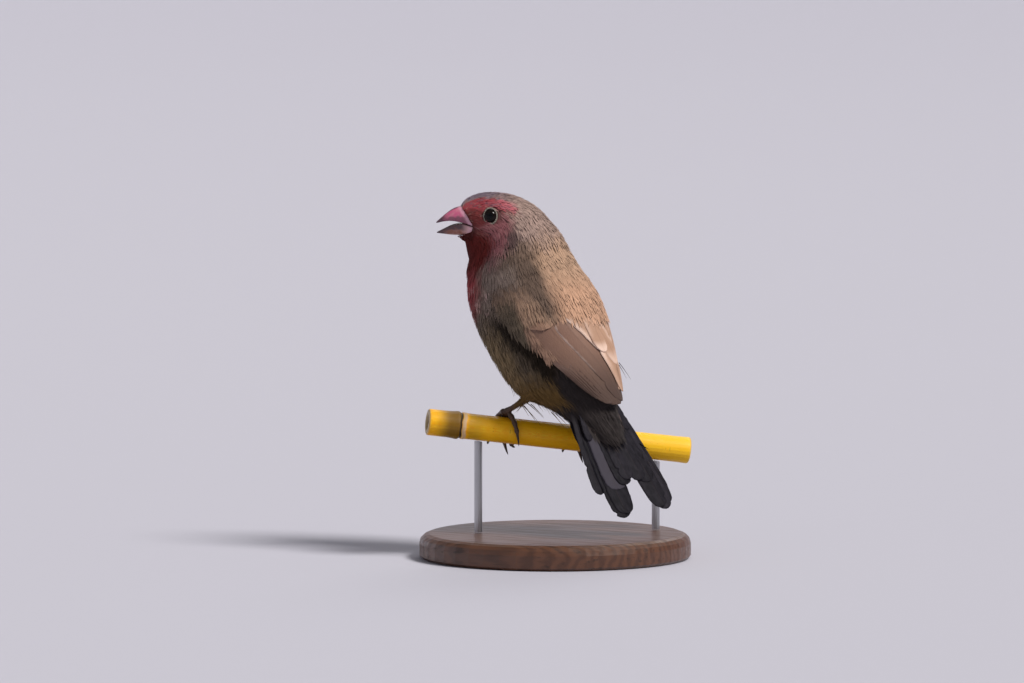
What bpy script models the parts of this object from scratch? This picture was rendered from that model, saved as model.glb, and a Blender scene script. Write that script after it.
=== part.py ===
"""A brown firefinch, life size, gripping a short cut length of reed on a plain display stand.

Run it with: blender --background --python part.py, or from the text editor. Metres, +Z up.
The bird's midplane is X = 0, its breast faces -Y and its left side is +X. The head is turned to the
bird's left. The origin is the centre of the stand's underside, and nothing moves.
"""
import math

import bmesh
import bpy
import numpy as np
from mathutils import Matrix, Vector

MM = 0.001  # every size below is written in millimetres and made metres as its mesh is made

# Driving sizes of the whole
GAP = 0.3  # between neighbouring pieces
TRIM = 0.05  # a cut is taken this much deeper than the face beside it
BODY_SIDES = 28  # points round a section of the body
HEAD_YAW = 32.0  # degrees that the head turns to the bird's left
YAW_PIVOT_Y = -6.5  # the upright axis of the neck that it turns about
YAW_FROM, YAW_TO = 9.2, 3.6  # rib numbers between which the neck twists
VIEW_YAW = 58.0  # degrees from the bird's heading to the line across its perch

# Ribs of the body from the bill's root to the tail's root, in the midplane:
# back point (y, z), belly point (y, z) and half width
RIBS = [
    ((-22.2, 87.8), (-21.2, 79.8), 3.5),
    ((-20.6, 89.6), (-20.9, 78.4), 5.2),
    ((-17.9, 90.8), (-20.6, 76.7), 6.3),
    ((-14.8, 91.2), (-20.3, 75.2), 7.0),
    ((-11.0, 91.0), (-20.1, 74.2), 7.4),
    ((-7.0, 89.8), (-20.3, 73.1), 7.9),
    ((-3.0, 87.5), (-20.7, 71.7), 8.7),
    ((0.3, 84.3), (-21.0, 69.7), 9.8),
    ((3.5, 80.6), (-21.0, 67.2), 11.2),
    ((6.0, 76.0), (-20.7, 64.2), 12.4),
    ((8.9, 70.5), (-19.7, 60.8), 13.3),
    ((11.6, 65.0), (-18.0, 57.0), 13.7),
    ((14.0, 59.0), (-15.8, 52.8), 13.6),
    ((15.8, 53.0), (-12.9, 48.3), 12.9),
    ((17.0, 47.5), (-9.8, 43.9), 11.6),
    ((18.0, 43.4), (-5.8, 39.9), 9.6),
    ((19.0, 40.2), (0.2, 37.3), 7.8),
    ((20.2, 37.2), (5.8, 34.2), 6.6),
    ((21.6, 34.0), (10.4, 30.6), 5.2),
]
HEAD_SPAN = (0.0, 6.3)  # rib numbers of each piece of the body
NECK_SPAN = (6.3, 9.2)
TORSO_SPAN = (9.2, 16.7)
RUMP_SPAN = (16.7, 18.0)
SECTION_POWER = 2.15  # 2 is an ellipse, more is squarer

# Eyes and lids
EYE_Y, EYE_Z = -14.6, 85.5  # before the head turns
EYE_RADIUS = 1.95
EYE_SINK = 1.4  # the eyeball's centre lies this far under the cheek
LID_RADIUS, LID_THICK, LID_SINK = 2.0, 0.3, 0.1

# Bill, in the head's midplane before it turns: ridge point, cutting edge point, half width
BILL_UPPER = [
    ((-24.0, 87.0), (-22.6, 83.65), 2.65),
    ((-25.6, 85.9), (-24.4, 83.95), 1.95),
    ((-27.0, 84.7), (-26.3, 83.8), 1.1),
    ((-28.2, 83.62), (-28.1, 83.36), 0.22),
]
BILL_LOWER = [
    ((-22.6, 83.05), (-22.5, 80.35), 2.4),
    ((-24.3, 82.65), (-24.4, 80.4), 1.8),
    ((-26.2, 81.8), (-26.3, 80.6), 1.05),
    ((-28.0, 81.12), (-28.05, 80.88), 0.2),
]
BILL_MOUTH = 0.46  # share of the bill root's height at which the jaws part
NOSTRIL_RADIUS = 0.32

# Perch: a cut reed, with the scar of one joint
PERCH_RADIUS = 3.25
PERCH_FROM, PERCH_TO = -30.0, 37.0  # along the reed from below the bird
PERCH_JOINT = -22.3
PERCH_DIP = 7.1  # degrees down towards its far end
PERCH_SWING = 10.0  # degrees that it swings away behind the bird's tail
PERCH_MID = Vector((-0.2, -0.2, 30.5))

# Stand
BASE_RADIUS, BASE_THICK, BASE_EDGE = 34.0, 6.0, 1.2
BASE_CENTRE_Y = 3.0  # from the middle of the bird
ROD_RADIUS = 1.0
ROD_PLACES = (-17.0, 28.5)  # along the reed

# Legs: place of each foot along the reed, and of the heel that its shank rises to
FEET = {"left": (-10.5, (7.6, 2.4, 41.9)), "right": (8.7, (-8.9, 12.2, 43.2))}
SHANK_RADIUS = 0.64
SHANK_BARE = {"left": 5.4, "right": 6.6}  # the length below the feathered boot
FOOT_RISE = 1.05  # the foot's own centre above the reed's bark
SHANK_FOOT = 1.75  # the shank starts this far from the foot's centre
TOE_RADIUS = 0.68
BOOT_RADII = (4.3, 3.3, 1.15)  # the feathered boot from thigh to shank

# Wing: a surface over the back and flank, by distance from the shoulder:
# distance, back point (y, z), belly point (y, z), half width, angle of the wing's lower edge
WING_STATIONS = [
    (0.0, (6.2, 75.9), (-20.6, 64.5), 12.8, 98.0),
    (6.0, (9.3, 70.6), (-19.5, 61.0), 13.7, 98.0),
    (12.0, (12.2, 65.1), (-17.9, 57.2), 14.2, 95.0),
    (18.0, (14.8, 59.2), (-15.7, 53.0), 14.2, 88.0),
    (24.0, (16.9, 53.3), (-12.7, 48.4), 13.5, 77.0),
    (30.0, (18.6, 47.4), (-9.0, 43.5), 12.2, 62.0),
    (36.0, (20.0, 41.6), (-5.0, 39.0), 10.4, 46.0),
    (42.0, (21.6, 36.0), (0.0, 34.0), 8.4, 34.0),
]
WING_TOP_ANGLE = 5.0  # degrees from the midline, where the two wings meet
WING_FLOOR = 0.4  # the least room under the wing
VANE_TILT = 0.2  # rise of a vane for each millimetre across it
FLIGHT_TIPS = (26.5, 31.5, 35.4, 37.0, 37.8, 38.3, 38.5, 38.6, 38.4, 37.8, 36.8, 35.2)
FLIGHT_WIDTHS = (6.0, 6.2, 6.0, 5.2, 5.0, 5.0, 4.8, 4.4, 4.0, 3.8, 3.6, 3.2)
GREATER_COVERTS, MEDIAN_COVERTS = 9, 7

# Tail: six feathers a side, from the middle outwards: length, spread in degrees, width
TAIL_ROOT = (11.6, 43.0)  # y, z
TAIL_SLOPE = 58.9  # degrees below level
TAIL_FEATHERS = [
    (25.5, 0.6, 4.8),
    (28.0, 1.8, 5.6),
    (36.0, 3.4, 5.8),
    (37.2, 5.2, 5.6),
    (35.2, 7.0, 5.2),
    (31.0, 9.5, 4.4),
]
LEFT_TAIL_SHARE = 0.95  # the left half of the tail is worn a little shorter
TAIL_ROOT_STEP = 0.95  # between the roots of neighbouring feathers
TAIL_STEP = 0.42  # each feather lies this far under the one nearer the middle
TAIL_ROLL = 18.0  # degrees that the tail twists, its right side up
TAIL_ARCH = 0.006  # how far the spread tail falls away at its sides

COLOURS = {  # base colour, roughness, metallic
    "back_plumage": ((0.27, 0.19, 0.15), 0.85, 0.0),
    "face_plumage": ((0.42, 0.09, 0.11), 0.85, 0.0),
    "neck_plumage": ((0.25, 0.18, 0.16), 0.85, 0.0),
    "belly_plumage": ((0.17, 0.14, 0.10), 0.85, 0.0),
    "tail_plumage": ((0.035, 0.033, 0.04), 0.7, 0.0),
    "bill_horn": ((0.42, 0.14, 0.19), 0.35, 0.0),
    "eye_black": ((0.006, 0.006, 0.008), 0.05, 0.0),
    "leg_skin": ((0.10, 0.075, 0.07), 0.5, 0.0),
    "reed": ((0.62, 0.42, 0.07), 0.45, 0.0),
    "stand_wood": ((0.12, 0.06, 0.03), 0.4, 0.0),
    "stand_steel": ((0.55, 0.55, 0.56), 0.3, 1.0),
}


def unit(v):
    v = np.asarray(v, float)
    return v / np.linalg.norm(v)


def spline(rows, at):
    """A smooth curve through the rows, read at a row number with a fraction."""
    rows = np.asarray(rows, float)
    last = len(rows) - 1
    i = min(max(int(math.floor(at)), 0), last - 1)
    f = at - i
    before = rows[i - 1] if i > 0 else 2 * rows[i] - rows[i + 1]
    after = rows[i + 2] if i + 2 <= last else 2 * rows[i + 1] - rows[i]
    slope_a = (rows[i + 1] - before) / 2
    slope_b = (after - rows[i]) / 2
    return (
        (2 * f**3 - 3 * f**2 + 1) * rows[i]
        + (f**3 - 2 * f**2 + f) * slope_a
        + (3 * f**2 - 2 * f**3) * rows[i + 1]
        + (f**3 - f**2) * slope_b
    )


def smooth(x):
    x = min(max(x, 0.0), 1.0)
    return x * x * (3 - 2 * x)


def yawed(point, share=1.0):
    """A point of the head turned with it about the neck's upright axis."""
    angle = math.radians(HEAD_YAW) * share
    x, y = point[0], point[1] - YAW_PIVOT_Y
    c, s = math.cos(angle), math.sin(angle)
    return np.array([x * c - y * s, x * s + y * c + YAW_PIVOT_Y, point[2]])


def yaw_share(t):
    return smooth((YAW_FROM - t) / (YAW_FROM - YAW_TO))


RIB_ROWS = [[*back, *belly, half] for back, belly, half in RIBS]


def section(t):
    """Back point, belly point and half width of the body at rib number t."""
    row = spline(RIB_ROWS, t)
    return row[:2], row[2:4], row[4]


def superellipse(angle):
    """Sine and cosine of a rounded section a little squarer than an ellipse."""
    s, c = math.sin(angle), math.cos(angle)
    power = 2 / SECTION_POWER
    return math.copysign(abs(s) ** power, s), math.copysign(abs(c) ** power, c)


def on_section(back, belly, half, angle, out=0.0):
    """A point round a section: angle 0 is the back, 90 degrees the bird's left, out is off the surface."""
    middle = (back + belly) / 2
    depth = np.linalg.norm(back - belly) / 2
    up = (back - belly) / (2 * depth)
    s, c = superellipse(angle)
    y, z = middle + up * (depth + out) * c
    return np.array([(half + out) * s, y, z])


def body_point(t, angle, out=0.0):
    back, belly, half = section(t)
    return yawed(on_section(back, belly, half, angle, out), yaw_share(t))


def section_normal(t):
    """The direction from head to tail across the section at t."""
    a = body_point(t, 0.0)
    b = body_point(t, math.pi / 2)
    c = body_point(t, math.pi)
    return unit(np.cross(b - a, c - a))


def nearest_on_head(y, z):
    """Rib number and angle of the point of the head's left side at that height and depth."""
    best = None
    for t in np.arange(2.5, 5.5, 0.02):
        back, belly, half = section(t)
        for angle in np.arange(30, 120, 1.0):
            p = on_section(back, belly, half, math.radians(angle))
            miss = math.hypot(p[1] - y, p[2] - z)
            if best is None or miss < best[0]:
                best = (miss, t, math.radians(angle))
    return best[1], best[2]


# Making objects

DISPLAY = None  # the empty that every piece is placed from
PARTS = None


def start():
    """Clears the scene and makes the collections and the empty that carries the model."""
    global DISPLAY, PARTS
    for old in list(bpy.data.objects):
        bpy.data.objects.remove(old)
    PARTS = bpy.data.collections.new("brown_firefinch")
    bpy.context.scene.collection.children.link(PARTS)
    DISPLAY = bpy.data.objects.new("display", None)
    DISPLAY.location = (0, -BASE_CENTRE_Y * MM, 0)
    PARTS.objects.link(DISPLAY)


def material(name):
    """The named colour as a Principled material, made once."""
    found = bpy.data.materials.get(name)
    if found:
        return found
    colour, rough, metal = COLOURS[name]
    made = bpy.data.materials.new(name)
    made.use_nodes = True
    shader = made.node_tree.nodes["Principled BSDF"]
    shader.inputs["Base Color"].default_value = (*colour, 1)
    shader.inputs["Roughness"].default_value = rough
    shader.inputs["Metallic"].default_value = metal
    made.diffuse_color = (*colour, 1)
    return made


def new_object(name, points, faces, finish=None):
    """A mesh object from points in millimetres."""
    mesh = bpy.data.meshes.new(name)
    mesh.from_pydata([tuple(float(c) * MM for c in p) for p in points], [], faces)
    mesh.validate()
    work = bmesh.new()
    work.from_mesh(mesh)
    bmesh.ops.recalc_face_normals(work, faces=work.faces)
    work.to_mesh(mesh)
    work.free()
    made = bpy.data.objects.new(name, mesh)
    made.parent = DISPLAY
    PARTS.objects.link(made)
    if finish:
        mesh.materials.append(material(finish))
    return made


def loft(name, rings, finish=None):
    """A closed skin through rings of equal count, with flat caps."""
    count = len(rings[0])
    points = [p for ring in rings for p in ring]
    faces = [list(range(count)), [len(points) - count + i for i in range(count)]]
    for r in range(len(rings) - 1):
        for i in range(count):
            j = (i + 1) % count
            a, b = r * count, (r + 1) * count
            faces.append([a + i, b + i, b + j, a + j])
    return new_object(name, points, faces, finish)


def join_all(base, others, name, finish):
    """One closed body from base and the overlapping closed pieces in others."""
    pieces = bpy.data.collections.new(name + "_pieces")
    bpy.context.scene.collection.children.link(pieces)
    for other in others:
        PARTS.objects.unlink(other)
        pieces.objects.link(other)
    fuse = base.modifiers.new("fuse", "BOOLEAN")
    fuse.operation = "UNION"
    fuse.operand_type = "COLLECTION"
    fuse.collection = pieces
    fuse.solver = "MANIFOLD"
    bake(base)
    for other in others:
        bpy.data.objects.remove(other)
    bpy.data.collections.remove(pieces)
    base.name = name
    keep_largest(base)
    base.data.materials.clear()
    base.data.materials.append(material(finish))
    return base


def bake(obj):
    """Applies an object's modifiers to its mesh."""
    bpy.context.view_layer.update()
    graph = bpy.context.evaluated_depsgraph_get()
    mesh = bpy.data.meshes.new_from_object(obj.evaluated_get(graph))
    obj.modifiers.clear()
    obj.data = mesh


def cut(obj, cutter):
    """Takes the cutter's shape out of obj, then removes the cutter."""
    trim = obj.modifiers.new("trim", "BOOLEAN")
    trim.operation = "DIFFERENCE"
    trim.object = cutter
    trim.solver = "EXACT"
    bake(obj)
    bpy.data.objects.remove(cutter)
    keep_largest(obj)


def keep_largest(obj):
    """Leaves only the largest closed surface of a mesh, as loose triangles made one."""
    work = bmesh.new()
    work.from_mesh(obj.data)
    bmesh.ops.remove_doubles(work, verts=work.verts, dist=0.002 * MM)
    bmesh.ops.triangulate(work, faces=work.faces)
    groups = []
    seen = set()
    for face in work.faces:
        if face in seen:
            continue
        group, queue = [], [face]
        seen.add(face)
        while queue:
            here = queue.pop()
            group.append(here)
            for edge in here.edges:
                for other in edge.link_faces:
                    if other not in seen:
                        seen.add(other)
                        queue.append(other)
        groups.append(group)

    def volume(group):
        total = 0.0
        for face in group:
            a, b, c = (v.co for v in face.verts)
            total += a.dot(b.cross(c)) / 6
        return total

    groups.sort(key=volume)
    for group in groups[:-1]:
        bmesh.ops.delete(work, geom=group, context="FACES")
    loose = [v for v in work.verts if not v.link_faces]
    bmesh.ops.delete(work, geom=loose, context="VERTS")
    work.to_mesh(obj.data)
    work.free()


def smooth_shade(obj, sharp=40):
    obj.data.shade_smooth()
    obj.data.set_sharp_from_angle(angle=math.radians(sharp))


def ball(name, centre, radius, rings=10, segments=16):
    """A sphere as its own object, in millimetres."""
    work = bmesh.new()
    bmesh.ops.create_uvsphere(work, u_segments=segments, v_segments=rings, radius=radius * MM)
    bmesh.ops.translate(work, vec=Vector(centre) * MM, verts=work.verts)
    mesh = bpy.data.meshes.new(name)
    work.to_mesh(mesh)
    work.free()
    made = bpy.data.objects.new(name, mesh)
    made.parent = DISPLAY
    PARTS.objects.link(made)
    return made


def tube(name, path, radii, sides=8, finish=None):
    """A closed round tube along a path, its ends drawn in to small flat caps."""
    path = [np.asarray(p, float) for p in path]
    rings = []
    side = None
    for i, (p, r) in enumerate(zip(path, radii)):
        along = unit(path[min(i + 1, len(path) - 1)] - path[max(i - 1, 0)])
        if side is None:
            side = unit(np.cross(along, (0.31, 0.17, 0.93)))
        side = unit(side - along * np.dot(side, along))
        up = np.cross(along, side)
        rings.append(
            [
                p + r * (math.cos(a) * side + math.sin(a) * up)
                for a in (2 * math.pi * k / sides for k in range(sides))
            ]
        )
    return loft(name, rings, finish)


# Body

def body_piece(name, span, finish, step=0.5):
    """A length of the body between two rib numbers, its ends drawn back to leave the gap."""
    first, last = span
    count = max(2, round((last - first) / step))
    rings = []
    for i in range(count + 1):
        t = first + (last - first) * i / count
        shift = np.zeros(3)
        if i == 0 and first > 0:
            shift = section_normal(t) * GAP / 2
        if i == count:
            shift = -section_normal(t) * GAP / 2
        rings.append(
            [
                body_point(t, 2 * math.pi * k / BODY_SIDES) + shift
                for k in range(BODY_SIDES)
            ]
        )
    made = loft(name, rings, finish)
    smooth_shade(made)
    return made


def eye_frame(side):
    """Middle of the eye's opening and the direction it looks, for the left (1) or right (-1) eye."""
    t, angle = nearest_on_head(EYE_Y, EYE_Z)
    step = 0.05
    share = yaw_share(t)

    def at(rib, turn):
        p = on_section(*section(rib), turn)
        return yawed((p[0] * side, p[1], p[2]), share)

    here = at(t, angle)
    along = at(t + step, angle) - at(t - step, angle)
    around = at(t, angle + step) - at(t, angle - step)
    out = unit(np.cross(along, around))
    outward = yawed((side, 0, 0), share) - yawed((0, 0, 0), share)
    return here, out if np.dot(out, outward) > 0 else -out


def make_head():
    """The head, with raised lids, eye sockets and the slot of the open mouth, and the two eyes."""
    head = body_piece("head", HEAD_SPAN, "face_plumage", 0.45)
    lids, sockets = [], []
    for name, side in (("left", 1), ("right", -1)):
        here, out = eye_frame(side)
        centre = here - out * EYE_SINK
        side_way = unit(np.cross(out, (0, 0, 1)))
        up_way = np.cross(side_way, out)
        lid_count = 16
        lid_path = [
            here - out * LID_SINK + LID_RADIUS * (math.cos(a) * side_way + math.sin(a) * up_way)
            for a in (2 * math.pi * k / lid_count for k in range(lid_count))
        ]
        lids.append(ring_tube("lid_" + name, lid_path, LID_THICK, out, 6))
        eye = ball("eye_" + name, centre, EYE_RADIUS, 12, 18)
        eye.data.materials.append(material("eye_black"))
        eye.data.shade_smooth()
        sockets.append(ball("socket_" + name, centre, EYE_RADIUS + GAP, 10, 16))
    head = join_all(head, lids, "head", "face_plumage")
    for socket in sockets:
        cut(head, socket)
    cut(head, mouth_slot())
    smooth_shade(head)


def ring_tube(name, path, radius, axis, sides):
    """A closed ring of round section, for a lid."""
    middle = sum(path) / len(path)
    points, faces = [], []
    for p in path:
        outward = unit(p - middle)
        for k in range(sides):
            a = 2 * math.pi * k / sides
            points.append(p + radius * (math.cos(a) * outward + math.sin(a) * axis))
    count = len(path)
    for i in range(count):
        for k in range(sides):
            j, m = (i + 1) % count, (k + 1) % sides
            faces.append([i * sides + k, j * sides + k, j * sides + m, i * sides + m])
    return new_object(name, points, faces)


def mouth_slot():
    """A wedge that opens forwards between the jaws and ends at the corner of the mouth."""
    half, corner_y, corner_z = 8.0, -18.9, 82.75
    front_y, open_low, open_high = -24.0, 82.9, 83.6
    profile = [
        (corner_y, corner_z - 0.1),
        (corner_y, corner_z + 0.1),
        (front_y, open_high),
        (front_y, open_low),
    ]
    rings = [[yawed((x, y, z)) for y, z in profile] for x in (-half, half)]
    return loft("mouth_slot", rings)


def jaw(name, stations, upper, finish):
    """A jaw from its root on the head's flat front to its tip, ridged outside and hollowed within."""
    back, belly, half = section(0)
    along = unit(belly - back)
    forward = np.array([along[1], -along[0]])
    if forward[0] > 0:
        forward = -forward
    height = np.linalg.norm(belly - back)
    rim = 0.25
    mouth = back + along * height * (1 - BILL_MOUTH)
    if upper:
        root = (back + along * rim, mouth - along * GAP / 2, half - rim)
    else:
        root = (mouth + along * GAP / 2, belly - along * rim, half - rim - 0.2)
    root = [root[0] + forward * GAP, root[1] + forward * GAP, root[2]]
    rows = [[*root[0], *root[1], root[2]]]
    rows += [[*ridge, *edge, width] for ridge, edge, width in stations]
    arc, rings = 9, []
    count = 9
    for i in range(count + 1):
        t = (len(rows) - 1) * i / count
        row = rows[0] if i == 0 else spline(rows, t)
        top, low, width = np.array(row[:2]), np.array(row[2:4]), row[4]
        edge, ridge = (low, top) if upper else (top, low)
        deep = ridge - edge
        ring = []
        for k in range(arc):
            a = math.pi * k / (arc - 1)
            lift = math.sin(a) ** 0.85
            y, z = edge + deep * lift
            ring.append(yawed((width * math.cos(a) * (1 - 0.12 * lift), y, z)))
        hollow = 0.0 if i == 0 else 0.22
        for x_share in (-0.5, 0.0, 0.5):
            y, z = edge + deep * hollow * (1 - abs(x_share))
            ring.append(yawed((width * x_share, y, z)))
        rings.append(ring)
    made = loft(name, rings, finish)
    if upper:
        for side in (1, -1):
            y, z = np.array(rows[1][:2]) * 0.55 + np.array(rows[1][2:4]) * 0.45
            hole = yawed((side * 2.45, y + 1.25, z + 0.55))
            cut(made, ball("nostril", hole, NOSTRIL_RADIUS, 6, 8))
    smooth_shade(made, 35)
    return made


# Wings

STATION_GAP = 6.0  # between the wing's stations
WING_ROWS = [[*back, *belly, half, edge] for _, back, belly, half, edge in WING_STATIONS]


def wing_row(s):
    row = spline(WING_ROWS, s / STATION_GAP)
    return row[:2], row[2:4], row[4], row[5]


def wing_point(side, s, angle, out):
    """A point off the wing's surface, by distance from the shoulder and degrees from the midline."""
    back, belly, half, _ = wing_row(s)
    x, y, z = on_section(back, belly, half, math.radians(angle), out)
    return np.array([x * side, y, z])


def wing_radius(s, angle):
    back, belly, half, _ = wing_row(s)
    depth = np.linalg.norm(back - belly) / 2
    c, si = math.cos(math.radians(angle)), math.sin(math.radians(angle))
    return math.hypot(half * c, depth * si)


VANE_ROWS = ((0.0, 0.55), (0.28, 0.95), (0.66, 1.0), (0.9, 0.78), (1.0, 0.36))


def vane(name, place, half_width, thick, rows=VANE_ROWS, taper=0.25):
    """A flight feather's vane: place(q, v, h) gives the point at q along, v across and h up."""
    points = []
    for q, share in rows:
        wide = half_width * share
        deep = thick * (1 - taper * q)
        for h in (0.0, deep):
            for v in (-wide, 0.0, wide):
                points.append(place(q, v, h))
    faces = []
    count = len(rows)
    for r in range(count - 1):
        a, b = 6 * r, 6 * (r + 1)
        for col in (0, 1):
            for base, flip in ((0, True), (3, False)):
                i, j = a + base + col, b + base + col
                two = [[i, j, j + 1], [i, j + 1, i + 1]]
                faces += [f[::-1] for f in two] if flip else two
        for col in (0, 2):
            i, j = a + col, b + col
            faces += [[i, j, j + 3], [i, j + 3, i + 3]]
    for base in (0, 6 * (count - 1)):
        for col in (0, 1):
            i = base + col
            faces += [[i, i + 1, i + 4], [i, i + 4, i + 3]]
    return new_object(name, points, faces)


def edge_angle(s, share):
    """Degrees from the midline of the line that runs that share of the way down the wing."""
    low = wing_row(s)[3]
    return WING_TOP_ANGLE + share * (low - WING_TOP_ANGLE)


def wing_vane(side, name, share, start, tip, width, lift, thick=0.5, tilt=VANE_TILT):
    """A vane that runs down the wing at a share of its depth, shingled over the one outside it."""

    def place(q, v, h):
        s = start + (tip - start) * q
        middle = edge_angle(s, share)
        angle = middle + math.degrees(v / wing_radius(s, middle))
        inner_side = WING_TOP_ANGLE - 3.0
        rise = lift(q) + tilt * (v + width / 2)
        return wing_point(side, s, max(angle, inner_side), rise + h)

    return vane(name, place, width / 2, thick)


def wing_core(side):
    """The thin pad of the upper arm that the coverts and the flight feathers grow from."""
    rings = []
    stops = ((2.5, 26, 84, 0.35), (5.0, 20, 92, 0.9), (9.0, 16, 95, 1.3), (14.0, 14, 93, 1.3), (20.0, 14, 86, 0.9))
    across = 8
    for s, top, low, thick in stops:
        outer, inner = [], []
        for k in range(across + 1):
            f = k / across
            angle = top + (low - top) * f
            bulge = thick * (0.45 + 0.55 * math.sin(math.pi * f))
            outer.append(wing_point(side, s, angle, WING_FLOOR + bulge))
            inner.append(wing_point(side, s, angle, WING_FLOOR))
        rings.append(outer + inner[::-1])
    return loft("wing_core", rings)


def wing_room(side):
    """A solid over all that the folded wing may fill, to cut the feathered boot clear of it."""
    rings = []
    across = 8
    for s in np.linspace(6, 42, 13):
        low = wing_row(s)[3] + 5
        angles = [low * k / across for k in range(across + 1)]
        outer = [wing_point(side, s, a, 9.0) for a in angles]
        inner = [wing_point(side, s, a, WING_FLOOR - GAP) for a in angles]
        rings.append(outer + inner[::-1])
    return loft("wing_room", rings)


def make_wing(name, side):
    """A folded wing: tertials, secondaries and primaries shingled under two rows of coverts."""
    core = wing_core(side)
    vanes = []
    count = len(FLIGHT_TIPS)
    for k in range(count):
        share = 0.06 + 0.94 * k / (count - 1)
        start = 9.0 + 0.55 * k
        vanes.append(
            wing_vane(
                side, "flight", share * 0.97, start, FLIGHT_TIPS[k], FLIGHT_WIDTHS[k],
                lambda q: 0.45 + 0.15 * q,
            )
        )
    for k in range(GREATER_COVERTS):
        f = k / (GREATER_COVERTS - 1)
        tip = 22.5 - 1.5 * f
        vanes.append(
            wing_vane(
                side, "greater", 0.18 + 0.76 * f, 9.5, tip, 4.0,
                lambda q: 0.5 + 0.75 * q, 0.5, 0.12,
            )
        )
    for k in range(MEDIAN_COVERTS):
        f = k / (MEDIAN_COVERTS - 1)
        tip = 15.2 - 1.0 * f
        vanes.append(
            wing_vane(
                side, "median", 0.2 + 0.7 * f, 6.0, tip, 4.2,
                lambda q: 0.5 + 0.85 * q, 0.5, 0.12,
            )
        )
    wing = join_all(core, vanes, name, "back_plumage")
    smooth_shade(wing, 30)
    return wing


# Tail

def tail_axes():
    slope = math.radians(TAIL_SLOPE)
    along = np.array([0, math.cos(slope), -math.sin(slope)])
    level_up = np.array([0, math.sin(slope), math.cos(slope)])
    roll = math.radians(TAIL_ROLL)
    across = np.array([math.cos(roll), 0, 0]) - level_up * math.sin(roll)
    up = level_up * math.cos(roll) + np.array([math.sin(roll), 0, 0])
    return along, across, up, np.array([0, *TAIL_ROOT])


def tail_vane(name, x, turn, start, length, width, height, thick, tilt=0.07, drop=0.0):
    """A tail feather that leaves the root x to one side and turns outwards by that many degrees."""
    along, across, up, root = tail_axes()
    angle = math.radians(turn)
    way = along * math.cos(angle) + across * math.sin(angle)
    wide = across * math.cos(angle) - along * math.sin(angle)
    outer = 1 if x >= 0 else -1

    def place(q, v, h):
        distance = start + (length - start) * q
        p = root + across * x + way * distance + wide * v
        arch = TAIL_ARCH * np.dot(p - root, across) ** 2 + drop * q
        return p + up * (height - arch + tilt * v * outer + h)

    rows = ((0.0, 0.6), (0.3, 0.9), (0.7, 1.0), (0.93, 0.8), (1.0, 0.4))
    return vane(name, place, width / 2, thick, rows)


def make_tail():
    """The root of the tail with its feathers: six a side, and the coverts over and under them."""
    root = body_piece("tail", RUMP_SPAN, "tail_plumage", 0.4)
    vanes = []
    for side in (1, -1):
        for i, (length, turn, width) in enumerate(TAIL_FEATHERS):
            x = side * (0.6 + TAIL_ROOT_STEP * i)
            low = -TAIL_STEP * i - (0.12 if side < 0 else 0.0)
            reach = length * (LEFT_TAIL_SHARE if side > 0 else 1.0)
            vanes.append(
                tail_vane("rectrix", x, side * turn, 3.0, reach, width, 0.7 + low, 0.5)
            )
        for i in range(3):
            vanes.append(
                tail_vane(
                    "upper_covert", side * (0.9 + 1.5 * i), side * (3 + 5 * i),
                    5.0, 15.5 - 1.3 * i, 3.6, 2.6 - 0.5 * i, 0.5, 0.1, 1.5 - 0.4 * i,
                )
            )
            vanes.append(
                tail_vane(
                    "under_covert", side * (0.8 + 1.4 * i), side * (2 + 4 * i),
                    6.0, 20.0 - 2.5 * i, 3.6, -3.6, 0.5, 0.05, -1.0,
                )
            )
    tail = join_all(root, vanes, "tail", "tail_plumage")
    cut(tail, body_side("rump_clear", RUMP_SPAN[0]))
    smooth_shade(tail, 30)
    return tail


def body_side(name, t):
    """A block that holds all that lies on the head's side of the section at t."""
    middle, tailward = body_point(t, 0) * 0.5 + body_point(t, math.pi) * 0.5, section_normal(t)
    up = unit(body_point(t, 0) - body_point(t, math.pi))
    wide, reach = 30.0, 40.0
    corners = [middle + wide * (x * np.array([1, 0, 0]) + z * up) for x, z in ((1, 1), (-1, 1), (-1, -1), (1, -1))]
    near = [c + tailward * (GAP / 2 + TRIM) for c in corners]
    far = [c - tailward * reach for c in corners]
    return loft(name, [near, far])


# Perch and stand

def view_axes():
    """The level directions along the reed (before it swings) and away behind it."""
    a = math.radians(180 - VIEW_YAW)
    return np.array([math.cos(a), math.sin(a), 0]), np.array([-math.sin(a), math.cos(a), 0])


def perch_axes():
    """Unit vectors along the reed, up from its bark and towards its far side."""
    across, away = view_axes()
    swing, dip = math.radians(PERCH_SWING), math.radians(PERCH_DIP)
    level = math.cos(swing) * across + math.sin(swing) * away
    along = math.cos(dip) * level + np.array([0, 0, -math.sin(dip)])
    up = unit(np.array([0, 0, 1]) - along * along[2])
    far = np.cross(up, along)
    if np.dot(far, away) < 0:
        far = -far
    return along, up, far


def perch_point(a, turn, radius):
    """A point a along the reed, turned round it from its top towards its far side."""
    along, up, far = perch_axes()
    angle = math.radians(turn)
    return np.array(PERCH_MID) + along * a + radius * (up * math.cos(angle) + far * math.sin(angle))


def place_on_reed(obj):
    """Turns an object modelled about Z so that its Z lies along the reed."""
    along, up, far = perch_axes()
    turn = Matrix((far, np.cross(along, far), along)).transposed().to_4x4()
    obj.matrix_parent_inverse = Matrix.Identity(4)
    obj.matrix_local = Matrix.Translation(PERCH_MID * MM) @ turn


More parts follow.
